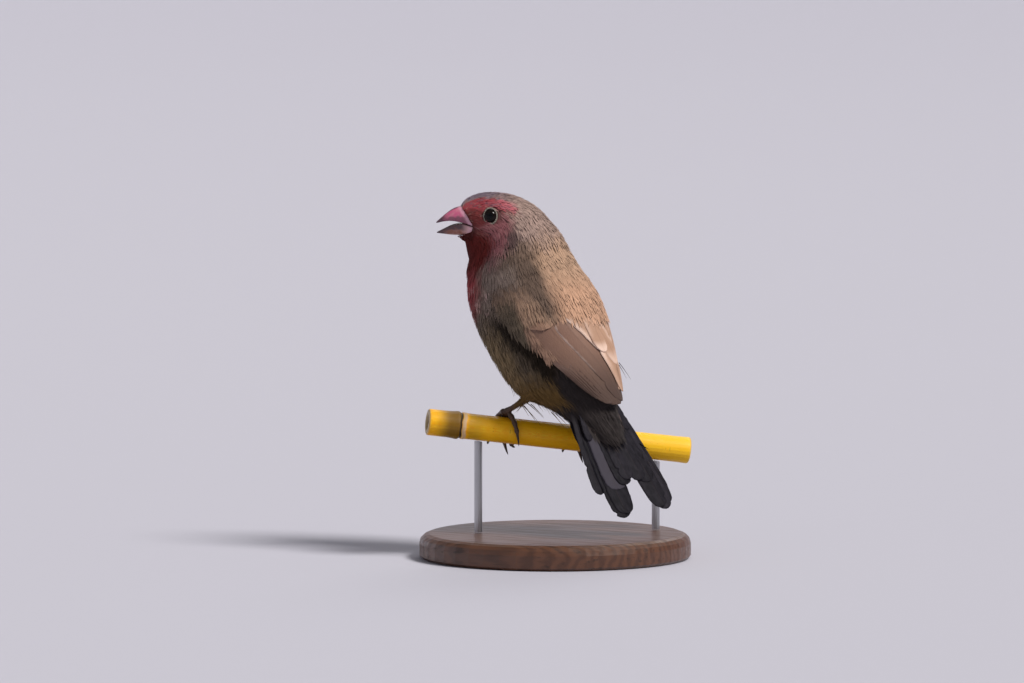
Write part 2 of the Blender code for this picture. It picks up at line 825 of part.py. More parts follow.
def turned(name, profile, steps, finish=None):
    """A closed solid of revolution about Z from (radius, height) points, top to bottom."""
    mesh = bpy.data.meshes.new(name)
    points = [(r * MM, 0, h * MM) for r, h in profile]
    mesh.from_pydata(points, [(i, i + 1) for i in range(len(points) - 1)], [])
    made = bpy.data.objects.new(name, mesh)
    made.parent = DISPLAY
    PARTS.objects.link(made)
    screw = made.modifiers.new("turn", "SCREW")
    screw.angle = 2 * math.pi
    screw.steps = steps
    screw.render_steps = steps
    screw.use_merge_vertices = True
    screw.merge_threshold = 0.00001
    screw.use_normal_calculate = True
    bake(made)
    work = bmesh.new()
    work.from_mesh(made.data)
    bmesh.ops.remove_doubles(work, verts=work.verts, dist=0.005 * MM)
    bmesh.ops.recalc_face_normals(work, faces=work.faces)
    work.to_mesh(made.data)
    work.free()
    made.data.materials.clear()
    if finish:
        made.data.materials.append(material(finish))
    smooth_shade(made, 35)
    return made


def reed_profile(extra=0.0):
    """Radius and distance along the reed, with the swelling and groove of its joint."""
    r, j = PERCH_RADIUS + extra, PERCH_JOINT
    return [
        (0.0, PERCH_TO + extra),
        (r - 0.1, PERCH_TO + extra),
        (r + 0.12, PERCH_TO - 0.4),
        (r, 8.0),
        (r, j + 2.6),
        (r + 0.12, j + 1.5),
        (r - 0.12, j + 0.7),
        (r + 0.25, j),
        (r + 0.2, j - 0.8),
        (r + 0.05, PERCH_FROM + 0.4),
        (r - 0.15, PERCH_FROM - extra),
        (0.0, PERCH_FROM - extra),
    ]


def make_perch():
    reed = turned("perch_reed", reed_profile(), 24, "reed")
    place_on_reed(reed)


def make_stand():
    """A turned wooden base and two steel rods that stop just under the reed."""
    r, t, e = BASE_RADIUS, BASE_THICK, BASE_EDGE
    base = turned(
        "stand_base",
        [(0, t), (r - 2 * e, t), (r - e, t - 0.35 * e), (r - 0.3 * e, t - e), (r, t - 2 * e),
         (r, 0.5 * e), (r - 0.5 * e, 0), (0, 0)],
        48,
        "stand_wood",
    )
    base.location = (0, BASE_CENTRE_Y * MM, 0)
    for name, a in zip(("stand_rod_left", "stand_rod_right"), ROD_PLACES):
        top = perch_point(a, 0, 0)
        foot, head = t + GAP, top[2]
        rod = turned(
            name,
            [(0, head), (ROD_RADIUS, head), (ROD_RADIUS, foot), (0, foot)],
            14,
            "stand_steel",
        )
        rod.location = (top[0] * MM, top[1] * MM, 0)
        clear = turned("clear", reed_profile(GAP), 24)
        place_on_reed(clear)
        cut(rod, clear)
        smooth_shade(rod, 35)


# Legs and feet

TOES = {
    # along the reed at root and end, degrees round the reed, hanging length, claw length
    "inner": (-0.5, -3.0, 138, 0.0, 2.6),
    "middle": (0.1, 0.6, 112, 3.4, 3.0),
    "outer": (0.6, 2.9, 150, 0.0, 2.4),
    "hind": (0.5, 2.6, -86, 0.0, 4.2),
}


def toe(name, foot_at, spec):
    """A toe wrapped round the reed as one tapering tube, with its claw."""
    root, end, sweep, hang, claw = spec
    ring = PERCH_RADIUS + GAP + TOE_RADIUS + 0.12
    path, radii = [], []
    knuckles = 7
    for i in range(knuckles + 1):
        f = i / knuckles
        swell = 1.0 + 0.12 * math.cos(3 * 2 * math.pi * f)
        rise = (1 - smooth(f * 3)) * (FOOT_RISE - 0.55)
        path.append(perch_point(foot_at + root + (end - root) * f, sweep * f, ring + rise))
        radii.append(TOE_RADIUS * swell * (1.05 - 0.25 * f))
    if hang:
        straight = unit(path[-1] - path[-2])
        down = unit(straight + np.array([0, 0, -0.9]) + 0.45 * perch_axes()[0])
        for i in (1, 2):
            path.append(path[-1] + down * hang / 3)
            radii.append(TOE_RADIUS * (0.8 - 0.08 * i))
    way = unit(path[-1] - path[-2])
    inward = -unit(path[-1] - perch_point(foot_at + end, 0, 0))
    bend = 0.22 if not hang else 0.05
    steps = 4
    for i in range(1, steps + 1):
        f = i / steps
        way = unit(way + inward * bend)
        path.append(path[-1] + way * claw / steps)
        radii.append(TOE_RADIUS * (0.62 * (1 - f) + 0.14))
    return tube(name, path, radii, 7)


def make_leg(side_name):
    """The feathered boot, the bare shank and the foot of one leg."""
    foot_at, heel = FEET[side_name]
    heel = np.array(heel)
    foot = perch_point(foot_at, 0, PERCH_RADIUS + GAP + FOOT_RISE)
    rise = unit(heel - foot)
    bare = SHANK_BARE[side_name]
    shank = tube(
        "leg_" + side_name,
        [foot + rise * d for d in (SHANK_FOOT, 2.4, bare - 0.6, bare)],
        [SHANK_RADIUS * 1.15, SHANK_RADIUS, SHANK_RADIUS, SHANK_RADIUS * 1.1],
        10,
        "leg_skin",
    )
    smooth_shade(shank)
    palm = ball("palm", foot, 0.95, 8, 12)
    stub = tube("stub", [foot, foot + rise * (SHANK_FOOT - GAP)], [0.75, 0.66], 8)
    toes = [toe(name, foot_at, spec) for name, spec in TOES.items()]
    claws_and_toes = join_all(palm, [stub, *toes], "foot_" + side_name, "leg_skin")
    smooth_shade(claws_and_toes)
    return foot, rise, bare


def boot_path(side_name, foot, rise, bare):
    """The line of the feathered boot from inside the flank to the shank."""
    end = foot + rise * (bare + GAP)
    side = 1 if side_name == "left" else -1
    high = end + rise * 7.5 + np.array([-0.6 * side, 0, 2.0])
    middle = end + rise * 3.4 + np.array([0, 0, 0.3])
    return [high, high * 0.5 + middle * 0.5, middle, end * 0.6 + middle * 0.4, end]


def make_boot(side_name, foot, rise, bare, torso):
    """The boot as its own solid, and its place cut out of the flank."""
    path = boot_path(side_name, foot, rise, bare)
    wide, mid, thin = BOOT_RADII
    radii = [wide * 0.75, wide, mid, mid * 0.45 + thin * 0.55, thin]
    boot = tube("thigh_" + side_name, path, radii, 14, "belly_plumage")
    cut(boot, wing_room(1 if side_name == "left" else -1))
    smooth_shade(boot)
    beyond = [path[0] + unit(path[0] - path[1]) * GAP, *path[1:], path[-1] - rise * (bare - 1.5)]
    clear = tube("clear", beyond, [r + GAP for r in (*radii, SHANK_RADIUS * 1.15)], 14)
    cut(torso, clear)


def main():
    start()
    make_head()
    body_piece("neck", NECK_SPAN, "neck_plumage")
    torso = body_piece("torso", TORSO_SPAN, "belly_plumage")
    jaw("bill_upper", BILL_UPPER, True, "bill_horn")
    jaw("bill_lower", BILL_LOWER, False, "bill_horn")
    make_wing("wing_left", 1)
    make_wing("wing_right", -1)
    make_tail()
    make_perch()
    make_stand()
    for side_name in FEET:
        foot, rise, bare = make_leg(side_name)
        make_boot(side_name, foot, rise, bare, torso)
    smooth_shade(torso)


main()
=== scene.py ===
"""Dresses the solids of a brown firefinch gripping a cut reed on a plain display stand.

Everything is worked out in the bird's own millimetres, with its midplane at X = 0, and set in the
frame's metres at the end. The skin and every feather are placed on the ribs of the solids, made a
little narrower at the face.
"""

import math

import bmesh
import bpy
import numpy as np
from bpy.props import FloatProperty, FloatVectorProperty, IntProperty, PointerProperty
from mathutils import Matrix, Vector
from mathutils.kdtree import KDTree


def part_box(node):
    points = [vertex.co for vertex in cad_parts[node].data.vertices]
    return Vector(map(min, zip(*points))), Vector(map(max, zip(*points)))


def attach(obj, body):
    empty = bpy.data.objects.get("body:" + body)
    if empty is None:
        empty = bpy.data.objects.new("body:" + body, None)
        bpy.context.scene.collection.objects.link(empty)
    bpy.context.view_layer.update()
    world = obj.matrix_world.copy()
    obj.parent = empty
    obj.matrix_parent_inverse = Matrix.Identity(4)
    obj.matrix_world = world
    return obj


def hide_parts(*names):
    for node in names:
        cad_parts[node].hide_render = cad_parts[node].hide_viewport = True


bl_info = {
    "name": "Brown Firefinch Model",
    "version": (1, 0, 0),
    "blender": (4, 5, 0),
    "location": "3D View > Sidebar > Firefinch",
    "description": "Builds the plumage, bill, eyes, feet, reed, stand and studio of a firefinch model",
    "category": "Object",
}

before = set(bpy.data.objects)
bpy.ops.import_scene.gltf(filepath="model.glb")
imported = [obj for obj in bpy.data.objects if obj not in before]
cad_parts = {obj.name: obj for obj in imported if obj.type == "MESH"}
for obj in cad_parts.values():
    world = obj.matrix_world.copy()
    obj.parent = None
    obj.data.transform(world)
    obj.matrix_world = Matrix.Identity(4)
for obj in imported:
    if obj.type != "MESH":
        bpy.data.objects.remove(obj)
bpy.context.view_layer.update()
BODY = "root"  # the one body of a model with no joints

MM = 0.001
BIRD_PLACE = np.array([0.0, -3.0, 0.0])  # the bird stands this far from the middle of the base
SIDES = (("left", 1), ("right", -1))

# The bird's ribs, bill to tail: back point (y, z), belly point (y, z) and half width
RIBS = [
    ((-22.2, 87.8), (-21.2, 79.8), 3.3),
    ((-20.6, 89.6), (-20.9, 78.4), 4.2),
    ((-17.9, 90.8), (-20.6, 76.7), 5.4),
    ((-14.8, 91.2), (-20.3, 75.2), 6.6),
    ((-11.0, 91.0), (-20.1, 74.2), 7.4),
    ((-7.0, 89.8), (-20.3, 73.1), 7.9),
    ((-3.0, 87.5), (-20.7, 71.7), 8.7),
    ((0.3, 84.3), (-21.0, 69.7), 9.8),
    ((3.5, 80.6), (-21.0, 67.2), 11.2),
    ((6.0, 76.0), (-20.7, 64.2), 12.4),
    ((8.9, 70.5), (-19.7, 60.8), 13.3),
    ((11.6, 65.0), (-18.0, 57.0), 13.7),
    ((14.0, 59.0), (-15.8, 52.8), 13.6),
    ((15.8, 53.0), (-12.9, 48.3), 12.9),
    ((17.0, 47.5), (-9.8, 43.9), 11.6),
    ((18.0, 43.4), (-5.8, 39.9), 9.6),
    ((19.0, 40.2), (0.2, 37.3), 7.8),
    ((20.2, 37.2), (5.8, 34.2), 6.6),
    ((21.6, 34.0), (10.4, 30.6), 5.2),
]
RIB_ROWS = np.array([[*back, *belly, half] for back, belly, half in RIBS])
SECTION_POWER = 2.15  # 2 is an ellipse, more is squarer
HEAD_YAW, YAW_PIVOT_Y = math.radians(32), -6.5
YAW_FROM, YAW_TO = 9.2, 3.6  # the ribs that the neck twists between

EYE_AT, MOUTH_CORNER = (-14.6, 86.0), (-18.9, 82.9)  # y, z before the head turns
EYE_BARE = 2.3  # no feather's root is nearer to the middle of the eye
HORN_TOP, HORN_BOTTOM = 88.2, 79.6  # z of the horn of the bill where it meets the face

# The folded wing's surface by distance from the shoulder: back, belly, half width, lower edge's angle
WING_STEP = 6.0
WING_STATIONS = [
    ((6.2, 75.9), (-20.6, 64.5), 12.8, 92.0),
    ((9.3, 70.6), (-19.5, 61.0), 13.7, 90.0),
    ((12.2, 65.1), (-17.9, 57.2), 14.2, 84.0),
    ((14.8, 59.2), (-15.7, 53.0), 14.2, 77.0),
    ((16.9, 53.3), (-12.7, 48.4), 13.5, 67.0),
    ((18.6, 47.4), (-9.0, 43.5), 12.2, 53.0),
    ((20.0, 41.6), (-5.0, 39.0), 10.4, 40.0),
    ((21.6, 36.0), (0.0, 34.0), 8.4, 28.0),
]
WING_ROWS = np.array([[*back, *belly, half, edge] for back, belly, half, edge in WING_STATIONS])

# The tail: root (y, z), slope below level and twist
TAIL_ROOT, TAIL_SLOPE, TAIL_ROLL = (11.6, 43.0), math.radians(58.9), math.radians(18)
TAIL_FEATHERS = {  # from the middle outwards: root and tip from the midline, length, width
    "left": [
        (0.5, 0.9, 26.2, 5.2), (1.4, 2.4, 27.0, 5.6), (2.4, 5.0, 27.8, 7.2),
        (3.4, 5.9, 34.4, 6.6), (4.4, 7.0, 35.0, 6.4), (5.3, 10.4, 27.4, 4.0),
    ],
    "right": [
        (0.6, 2.6, 27.2, 5.6), (1.5, 5.3, 28.2, 6.0), (2.5, 5.6, 35.4, 6.2),
        (3.5, 7.0, 36.2, 6.2), (4.4, 8.5, 34.8, 5.6), (5.2, 9.5, 32.2, 4.2),
    ],
}
TAIL_STEP = 0.42

# The reed: line, size and slope, as in the solids
PERCH_MID = np.array([-0.2, -0.2, 30.5])
PERCH_RADIUS, PERCH_FROM, PERCH_TO, PERCH_JOINT = 3.25, -30.0, 37.0, -22.3
PERCH_DIP, PERCH_SWING, VIEW_YAW = math.radians(7.1), math.radians(10), math.radians(58)

# Feet: place along the reed, and the heel that the shank rises to
FEET = {"left": (-10.5, (7.6, 2.4, 41.9), 5.4), "right": (8.7, (-8.9, 12.2, 43.2), 6.6)}
FOOT_RISE, TOE_RADIUS, SHANK_RADIUS, TOUCH = 1.05, 0.68, 0.64, 0.3


# Colour and property helpers


def paint(*levels):
    """A screen colour, red, green and blue from 0 to 255, as the linear colour that a shader reads."""
    shares = [c / 255 for c in levels]
    return tuple(c / 12.92 if c <= 0.04045 else ((c + 0.055) / 1.055) ** 2.4 for c in shares)


def colour_prop(name, words, *levels):
    """A colour that a user can change, from its screen colour."""
    return FloatVectorProperty(
        name=name, description=words, subtype="COLOR", size=3, min=0, max=1, default=paint(*levels)
    )


class FirefinchPlumage(bpy.types.PropertyGroup):
    """Colours and make of the coat."""

    crown: colour_prop("Crown", "Grey brown of the crown", 150, 124, 118)
    crown_front: colour_prop("Fore crown", "Slate grey over the forehead", 106, 92, 106)
    brow: colour_prop("Brow", "Crimson band over the eye", 142, 56, 64)
    brow_back: colour_prop("Hind brow", "Rosy end of the brow", 200, 108, 118)
    # hollow is a painted shadow: the dark band on the flank under the folded wing's edge
    hollow: colour_prop("Hollow", "Dark bases of the flank feathers by the wing", 32, 23, 14)
    lore: colour_prop("Lore", "Dark crimson before the eye", 104, 42, 42)
    cheek: colour_prop("Cheek", "Mauve brown of the cheek", 130, 80, 84)
    throat: colour_prop("Throat", "Brick red of the throat", 98, 32, 28)
    breast: colour_prop("Breast", "Brick red of the breast", 142, 53, 57)
    ear: colour_prop("Ear", "Dusky ear patch", 80, 62, 62)
    nape: colour_prop("Nape", "Pale grey brown of the nape", 160, 136, 126)
    mantle: colour_prop("Mantle", "Warm tan of the back", 178, 145, 120)
    # The lower back's own warm tan, made paler with a painted highlight where light falls on it
    mantle_low_highlight: colour_prop("Lower back", "Warmer tan of the back's end", 196, 154, 126)
    scapular: colour_prop("Scapulars", "Olive brown over the shoulder", 104, 86, 74)
    lesser: colour_prop("Lesser coverts", "Mauve brown at the bend of the wing", 160, 130, 108)
    breast_side: colour_prop("Breast side", "Olive grey beside the breast", 128, 112, 102)
    flank: colour_prop("Flank", "Dark olive brown of the flank", 92, 80, 66)
    belly: colour_prop("Belly", "Olive grey of the belly", 132, 112, 82)
    vent: colour_prop("Vent", "Olive buff about the legs and vent", 116, 90, 50)
    rump: colour_prop("Rump", "Dark grey brown of the tail coverts", 52, 46, 45)
    tail: colour_prop("Tail", "Blue black of the tail", 14, 13, 19)
    wing: colour_prop("Wing", "Mauve brown of the flight feathers", 130, 98, 84)
    wing_warm: colour_prop("Warm wing", "Lighter cloud on the flight feathers", 158, 124, 102)
    tertial: colour_prop("Tertials", "Tan of the innermost feathers", 180, 140, 116)
    wing_edge: colour_prop("Feather edge", "Pale fringe of a wing feather", 240, 210, 192)
    density: FloatProperty(
        name="Density", description="How close the feathers stand", default=1.0, min=0.3, max=2
    )
    seed: IntProperty(name="Seed", description="Seed of every random draw", default=7)


class FirefinchHead(bpy.types.PropertyGroup):
    """Colours of the bill and the eye."""

    bill_pink: colour_prop("Bill", "Rosy sides of the bill", 204, 98, 134)
    bill_dark: colour_prop("Ridge", "Slate ridge and tip", 62, 52, 62)
    bill_lower: colour_prop("Lower bill", "Horn brown of the lower jaw", 138, 86, 68)
    gape: colour_prop("Gape", "Pale flesh at the corner of the mouth", 206, 160, 160)
    mouth: colour_prop("Mouth", "Dark inside of the bill", 60, 26, 30)
    iris: colour_prop("Iris", "Nearly black iris", 9, 7, 7)
    eye_ring: colour_prop("Eye ring", "Grey green of the lids", 172, 164, 150)


class FirefinchLegs(bpy.types.PropertyGroup):
    """Colours of the legs."""

    skin: colour_prop("Leg", "Dark brown scutes", 80, 58, 44)
    seam: colour_prop("Seam", "Paler skin between the scutes", 122, 92, 72)
    claw: colour_prop("Claw", "Dark horn of the claws", 56, 40, 30)


class FirefinchPerch(bpy.types.PropertyGroup):
    """Colours of the reed."""

    bark: colour_prop("Bark", "Golden yellow of the reed", 252, 176, 0)
    # The pale bark colour paints the straw streaks, and also painted light on the reed's lit end
    bark_pale_and_lit_end: colour_prop("Pale bark", "Straw yellow streaks", 255, 204, 40)
    bark_deep: colour_prop("Deep bark", "Amber stains", 218, 142, 0)
    joint: colour_prop("Joint", "Brown of the joint", 82, 60, 24)
    scar: colour_prop("Scar", "Pale ring of the fallen sheath", 222, 186, 140)


class FirefinchStand(bpy.types.PropertyGroup):
    """Colours of the stand and the studio."""

    wood: colour_prop("Wood", "Oiled wood of the base", 96, 62, 44)
    wood_dark: colour_prop("Grain", "Dark grain of the base", 70, 44, 32)
    floor: colour_prop("Floor", "Pale floor and backdrop", 192, 191, 202)
    span: FloatProperty(
        name="Picture width", description="Width of the view at the bird", unit="LENGTH", default=0.256
    )


def settings():
    return bpy.context.scene.firefinch


class FirefinchSettings(bpy.types.PropertyGroup):
    """All settings of the model."""

    plumage: PointerProperty(type=FirefinchPlumage)
    head: PointerProperty(type=FirefinchHead)
    legs: PointerProperty(type=FirefinchLegs)
    perch: PointerProperty(type=FirefinchPerch)
    stand: PointerProperty(type=FirefinchStand)


# Curved surfaces


def smooth(x):
    x = np.clip(x, 0, 1)
    return x * x * (3 - 2 * x)


def unit(v):
    return v / np.maximum(np.linalg.norm(v, axis=-1, keepdims=True), 1e-9)


def spline(rows, at):
    """A smooth curve through the rows, read at row numbers with fractions."""
    at = np.atleast_1d(np.asarray(at, float))
    padded = np.vstack([2 * rows[0] - rows[1], rows, 2 * rows[-1] - rows[-2]])
    i = np.clip(np.floor(at).astype(int), 0, len(rows) - 2)
    f = (at - i)[:, None]
    a, b, c, d = (padded[i + k] for k in range(4))
    return (
        (2 * f**3 - 3 * f**2 + 1) * b
        + (f**3 - 2 * f**2 + f) * (c - a) / 2
        + (3 * f**2 - 2 * f**3) * c
        + (f**3 - f**2) * (d - b) / 2
    )


def read(table, at):
    """Values of a table of (place, value) rows, with straight lines between them."""
    places, values = zip(*table)
    return np.interp(at, places, values)


def ring_point(rows, angle, out):
    """Points round sections given as rows of back, belly and half width."""
    back, belly, half = rows[:, 0:2], rows[:, 2:4], rows[:, 4]
    middle = (back + belly) / 2
    depth = np.linalg.norm(back - belly, axis=1) / 2
    up = (back - belly) / (2 * depth)[:, None]
    s, c = np.sin(angle), np.cos(angle)
    power = 2 / SECTION_POWER
    s, c = np.sign(s) * np.abs(s) ** power, np.sign(c) * np.abs(c) ** power
    yz = middle + up * ((depth + out) * c)[:, None]
    return np.column_stack([(half + out) * s, yz])


def yaw_share(t):
    return smooth((YAW_FROM - t) / (YAW_FROM - YAW_TO))


def turned(p, share=1.0):
    """Points turned with the head about the neck's upright axis, wholly or by a share of its turn."""
    a = HEAD_YAW * np.broadcast_to(share, len(p))
    x, y = p[:, 0], p[:, 1] - YAW_PIVOT_Y
    forth = x * np.sin(a) + y * np.cos(a) + YAW_PIVOT_Y
    return np.column_stack([x * np.cos(a) - y * np.sin(a), forth, p[:, 2]])


class BodySurface:
    """The body by rib number and angle from the back, in radians."""

    u_span = 19.0

    def straight(self, u, v, out=0.0):
        return ring_point(spline(RIB_ROWS, u), v, out)

    def at(self, u, v, out=0.0):
        return turned(self.straight(u, v, out), yaw_share(u))

    def atlas(self, u, v):
        return np.column_stack([(u + 0.5) / self.u_span * 0.5, (v / (2 * math.pi)) % 1.0])


class WingSurface:
    """A folded wing's surface by distance from the shoulder and angle from the back."""

    def __init__(self, side):
        self.side = side

    def rows(self, u):
        return spline(WING_ROWS, np.asarray(u) / WING_STEP)

    def at(self, u, v, out=0.0):
        p = ring_point(self.rows(u), v, out)
        return p * np.array([self.side, 1, 1])

    straight = at

    def low_edge(self, u):
        return np.radians(self.rows(u)[:, 5])

    def atlas(self, u, v):
        start = 0.55 if self.side > 0 else 0.78
        return np.column_stack([start + u / 42 * 0.2, v / (2 * math.pi) + 0.3])


def metric(surface, u, v):
    """Millimetres for each step of u and of v at the given places."""
    e = 0.01
    du = np.linalg.norm(surface.at(u + e, v) - surface.at(u - e, v), axis=1) / (2 * e)
    dv = np.linalg.norm(surface.at(u, v + e) - surface.at(u, v - e), axis=1) / (2 * e)
    return du, dv


# Meshes


def placed(name, data):
    """A new object in the scene."""
    made = bpy.data.objects.new(name, data)
    bpy.context.scene.collection.objects.link(made)
    return made


def write(mesh, columns):
    """Point attributes from arrays of one number or of three numbers a point."""
    for key, values in columns.items():
        kind, field = ("FLOAT_VECTOR", "vector") if np.ndim(values) == 2 else ("FLOAT", "value")
        mesh.attributes.new(key, kind, "POINT").data.foreach_set(field, np.float32(values).ravel())


def solid(name, points, triangles, columns=None, atlas=None, normals=None):
    """A mesh of triangles from points in the bird's millimetres, with point attributes and an unwrap."""
    points = (np.asarray(points, float) + BIRD_PLACE) * MM
    triangles = np.asarray(triangles, np.int32)
    mesh = bpy.data.meshes.new(name)
    mesh.vertices.add(len(points))
    mesh.vertices.foreach_set("co", points.astype(np.float32).ravel())
    mesh.loops.add(triangles.size)
    mesh.loops.foreach_set("vertex_index", triangles.ravel())
    mesh.polygons.add(len(triangles))
    mesh.polygons.foreach_set("loop_start", np.arange(0, triangles.size, 3, dtype=np.int32))
    mesh.polygons.foreach_set("use_smooth", np.full(len(triangles), True))
    write(mesh, columns or {})
    if atlas is not None:
        layer = mesh.uv_layers.new(name="OFBake")
        layer.data.foreach_set("uv", np.float32(atlas)[triangles.ravel()].ravel())
    mesh.update(calc_edges=True)
    mesh.validate()
    if normals is not None:
        mesh.normals_split_custom_set_from_vertices(normals.tolist())
    return placed(name, mesh)


def paint_over(obj, finish):
    obj.data.materials.clear()
    obj.data.materials.append(finish)


def finish_piece(obj, finish, nodes=()):
    """Gives a piece its material and its body, and hides the nodes that it stands for."""
    paint_over(obj, finish)
    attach(obj, BODY)
    if nodes:
        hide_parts(*nodes)
    return obj


def circle(columns):
    """Angles of the points of a ring."""
    return 2 * np.pi * np.arange(columns) / columns


def capped(points, rows, columns):
    """A closed tube's points and triangles, with a middle point added to each end."""
    points = points.reshape(rows * columns, 3)
    first, last = points[:columns].mean(0), points[-columns:].mean(0)
    c = np.arange(columns)
    n = (c + 1) % columns
    row = columns * np.arange(rows)[:, None]
    a, b, d, e = row[:-1] + c, row[:-1] + n, row[1:] + c, row[1:] + n
    sides = [np.stack(corners, -1).reshape(-1, 3) for corners in ((a, d, e), (a, e, b))]
    low = np.stack([np.full(columns, rows * columns), c, n], -1)
    high = np.stack([np.full(columns, rows * columns + 1), row[-1] + n, row[-1] + c], -1)
    return np.vstack([points, first, last]), np.vstack([*sides, low, high])


def by_ring(values, columns, ends):
    """A value for each point of a capped tube from one for each ring and one for each end."""
    return np.concatenate([np.repeat(values, columns), ends])


def by_column(values, rows, ends):
    """A value for each point of a capped tube from one for each column and one for each end."""
    return np.concatenate([np.tile(values, rows), ends])


def outward(points, triangles):
    """The triangles turned so that the closed surface's volume is positive."""
    a, b, c = (points[triangles[:, k]] for k in range(3))
    volume = np.einsum("ij,ij->i", a, np.cross(b, c)).sum()
    return triangles if volume > 0 else triangles[:, ::-1]


def merged(parts):
    """Several (points, triangles, *columns of values) joined into one."""
    offset, points, triangles, extra = 0, [], [], [[] for _ in parts[0][2:]]
    for part in parts:
        points.append(part[0])
        triangles.append(part[1] + offset)
        offset += len(part[0])
        for store, values in zip(extra, part[2:]):
            store.append(values)
    return (np.vstack(points), np.vstack(triangles), *(np.concatenate(e) for e in extra))


def tube_points(path, radii, columns):
    """Rings round a path as (rows, columns, 3)."""
    path = np.asarray(path, float)
    along = unit(np.gradient(path, axis=0))
    side = unit(np.cross(along[0], (0.31, 0.17, 0.93)))  # no path starts in this direction
    a = circle(columns)
    rings = []
    for p, d, r in zip(path, along, radii):
        side = unit(side - d * np.dot(side, d))
        up = np.cross(d, side)
        rings.append(p + r * (np.cos(a)[:, None] * side + np.sin(a)[:, None] * up))
    return np.array(rings)


# Shader helpers


def spaced(name):
    """A setting's name as the name of a socket."""
    return name.replace("_", " ").capitalize()


class Board:
    """A node tree being wired up: sockets or plain values go in, sockets come out."""

    def __init__(self, tree):
        self.tree = tree

    def node(self, kind, **values):
        made = self.tree.nodes.new(kind)
        for key, value in values.items():
            setattr(made, key, value)
        return made

    def feed(self, socket, value):
        if isinstance(value, bpy.types.NodeSocket):
            self.tree.links.new(value, socket)
        elif value is not None:
            colour = socket.type == "RGBA" and len(value) == 3
            socket.default_value = (*value, 1) if colour else value

    def math(self, operation, a, b=None, c=None, clamp=False):
        made = self.node("ShaderNodeMath", operation=operation, use_clamp=clamp)
        for socket, value in zip(made.inputs, (a, b, c)):
            self.feed(socket, value)
        return made.outputs[0]

    def times(self, a, b):
        return self.math("MULTIPLY", a, b)

    def plus(self, a, b):
        return self.math("ADD", a, b)

    def minus(self, a, b):
        return self.math("SUBTRACT", a, b)

    def mix(self, share, a, b, blend="MIX"):
        made = self.node("ShaderNodeMix", data_type="RGBA", blend_type=blend)
        self.feed(made.inputs[0], share)
        self.feed(made.inputs[6], a)
        self.feed(made.inputs[7], b)
        return made.outputs[2]

    def step(self, value, low, high, to_low=0.0, to_high=1.0):
        made = self.node("ShaderNodeMapRange", interpolation_type="SMOOTHSTEP")
        for socket, v in zip(made.inputs, (value, low, high, to_low, to_high)):
            self.feed(socket, v)
        return made.outputs[0]

    def noise(self, place, scale, detail=3.0, rough=0.55):
        made = self.node("ShaderNodeTexNoise")
        self.feed(made.inputs["Vector"], place)
        for key, v in (("Scale", scale), ("Detail", detail), ("Roughness", rough)):
            made.inputs[key].default_value = v
        return made.outputs["Fac"]

    def place(self):
        return self.node("ShaderNodeTexCoord").outputs["Object"]

    def attribute(self, name, output="Fac"):
        return self.node("ShaderNodeAttribute", attribute_name=name).outputs[output]

    def join(self, x, y, z):
        made = self.node("ShaderNodeCombineXYZ")
        for socket, v in zip(made.inputs, (x, y, z)):
            self.feed(socket, v)
        return made.outputs[0]

    def mapped(self, vector, scale, turn=(0, 0, 0)):
        made = self.node("ShaderNodeMapping")
        self.feed(made.inputs["Vector"], vector)
        made.inputs["Scale"].default_value = scale
        made.inputs["Rotation"].default_value = turn
        return made.outputs[0]

    def group(self, tree, **values):
        made = self.node("ShaderNodeGroup", node_tree=tree)
        for key, value in values.items():
            self.feed(made.inputs[spaced(key)], value)
        return made.outputs

    def bump(self, height, strength, distance):
        made = self.node("ShaderNodeBump")
        made.inputs["Strength"].default_value = strength
        made.inputs["Distance"].default_value = distance
        self.feed(made.inputs["Height"], height)
        return made.outputs[0]

    def finish(self, shader, colour, height=None, strength=0.3, distance=0.0001):
        """Feeds a material's colour, and its relief where it has one."""
        self.feed(shader["Base Color"], colour)
        if height is not None:
            self.feed(shader["Normal"], self.bump(height, strength, distance))


def new_group(name, inputs, outputs):
    """An empty shader group with named sockets, given as name to (type, default)."""
    tree = bpy.data.node_groups.new(name, "ShaderNodeTree")
    for key, (kind, value) in inputs.items():
        socket = tree.interface.new_socket(key, in_out="INPUT", socket_type=kind)
        if value is not None:
            socket.default_value = (*value, 1) if kind == "NodeSocketColor" else value
    for key, kind in outputs.items():
        tree.interface.new_socket(key, in_out="OUTPUT", socket_type=kind)
    board = Board(tree)
    return board, board.node("NodeGroupInput").outputs, board.node("NodeGroupOutput").inputs


def new_material(name, roughness, specular=0.5, **constants):
    """A Principled material with constants on its own sockets; returns it, its board and its sockets."""
    made = bpy.data.materials.new(name)
    made.use_nodes = True
    shader = made.node_tree.nodes["Principled BSDF"].inputs
    shader["Roughness"].default_value = roughness
    shader["Specular IOR Level"].default_value = specular
    for key, value in constants.items():
        shader[key.replace("_", " ").title()].default_value = value
    return made, Board(made.node_tree), shader


def colour_group(title, run, names):
    """A shader group that is given a place, a run, a turn and colours of the plumage by their names."""
    number = ("NodeSocketFloat", 0.0)
    inputs = {"Place": ("NodeSocketVector", None), run: number, "Turn": number}
    for n in names:
        inputs[spaced(n)] = ("NodeSocketColor", getattr(settings().plumage, n))
    board, given, out = new_group(title, inputs, {"Colour": "NodeSocketColor"})
    return board, given, out, {n: given[spaced(n)] for n in names}


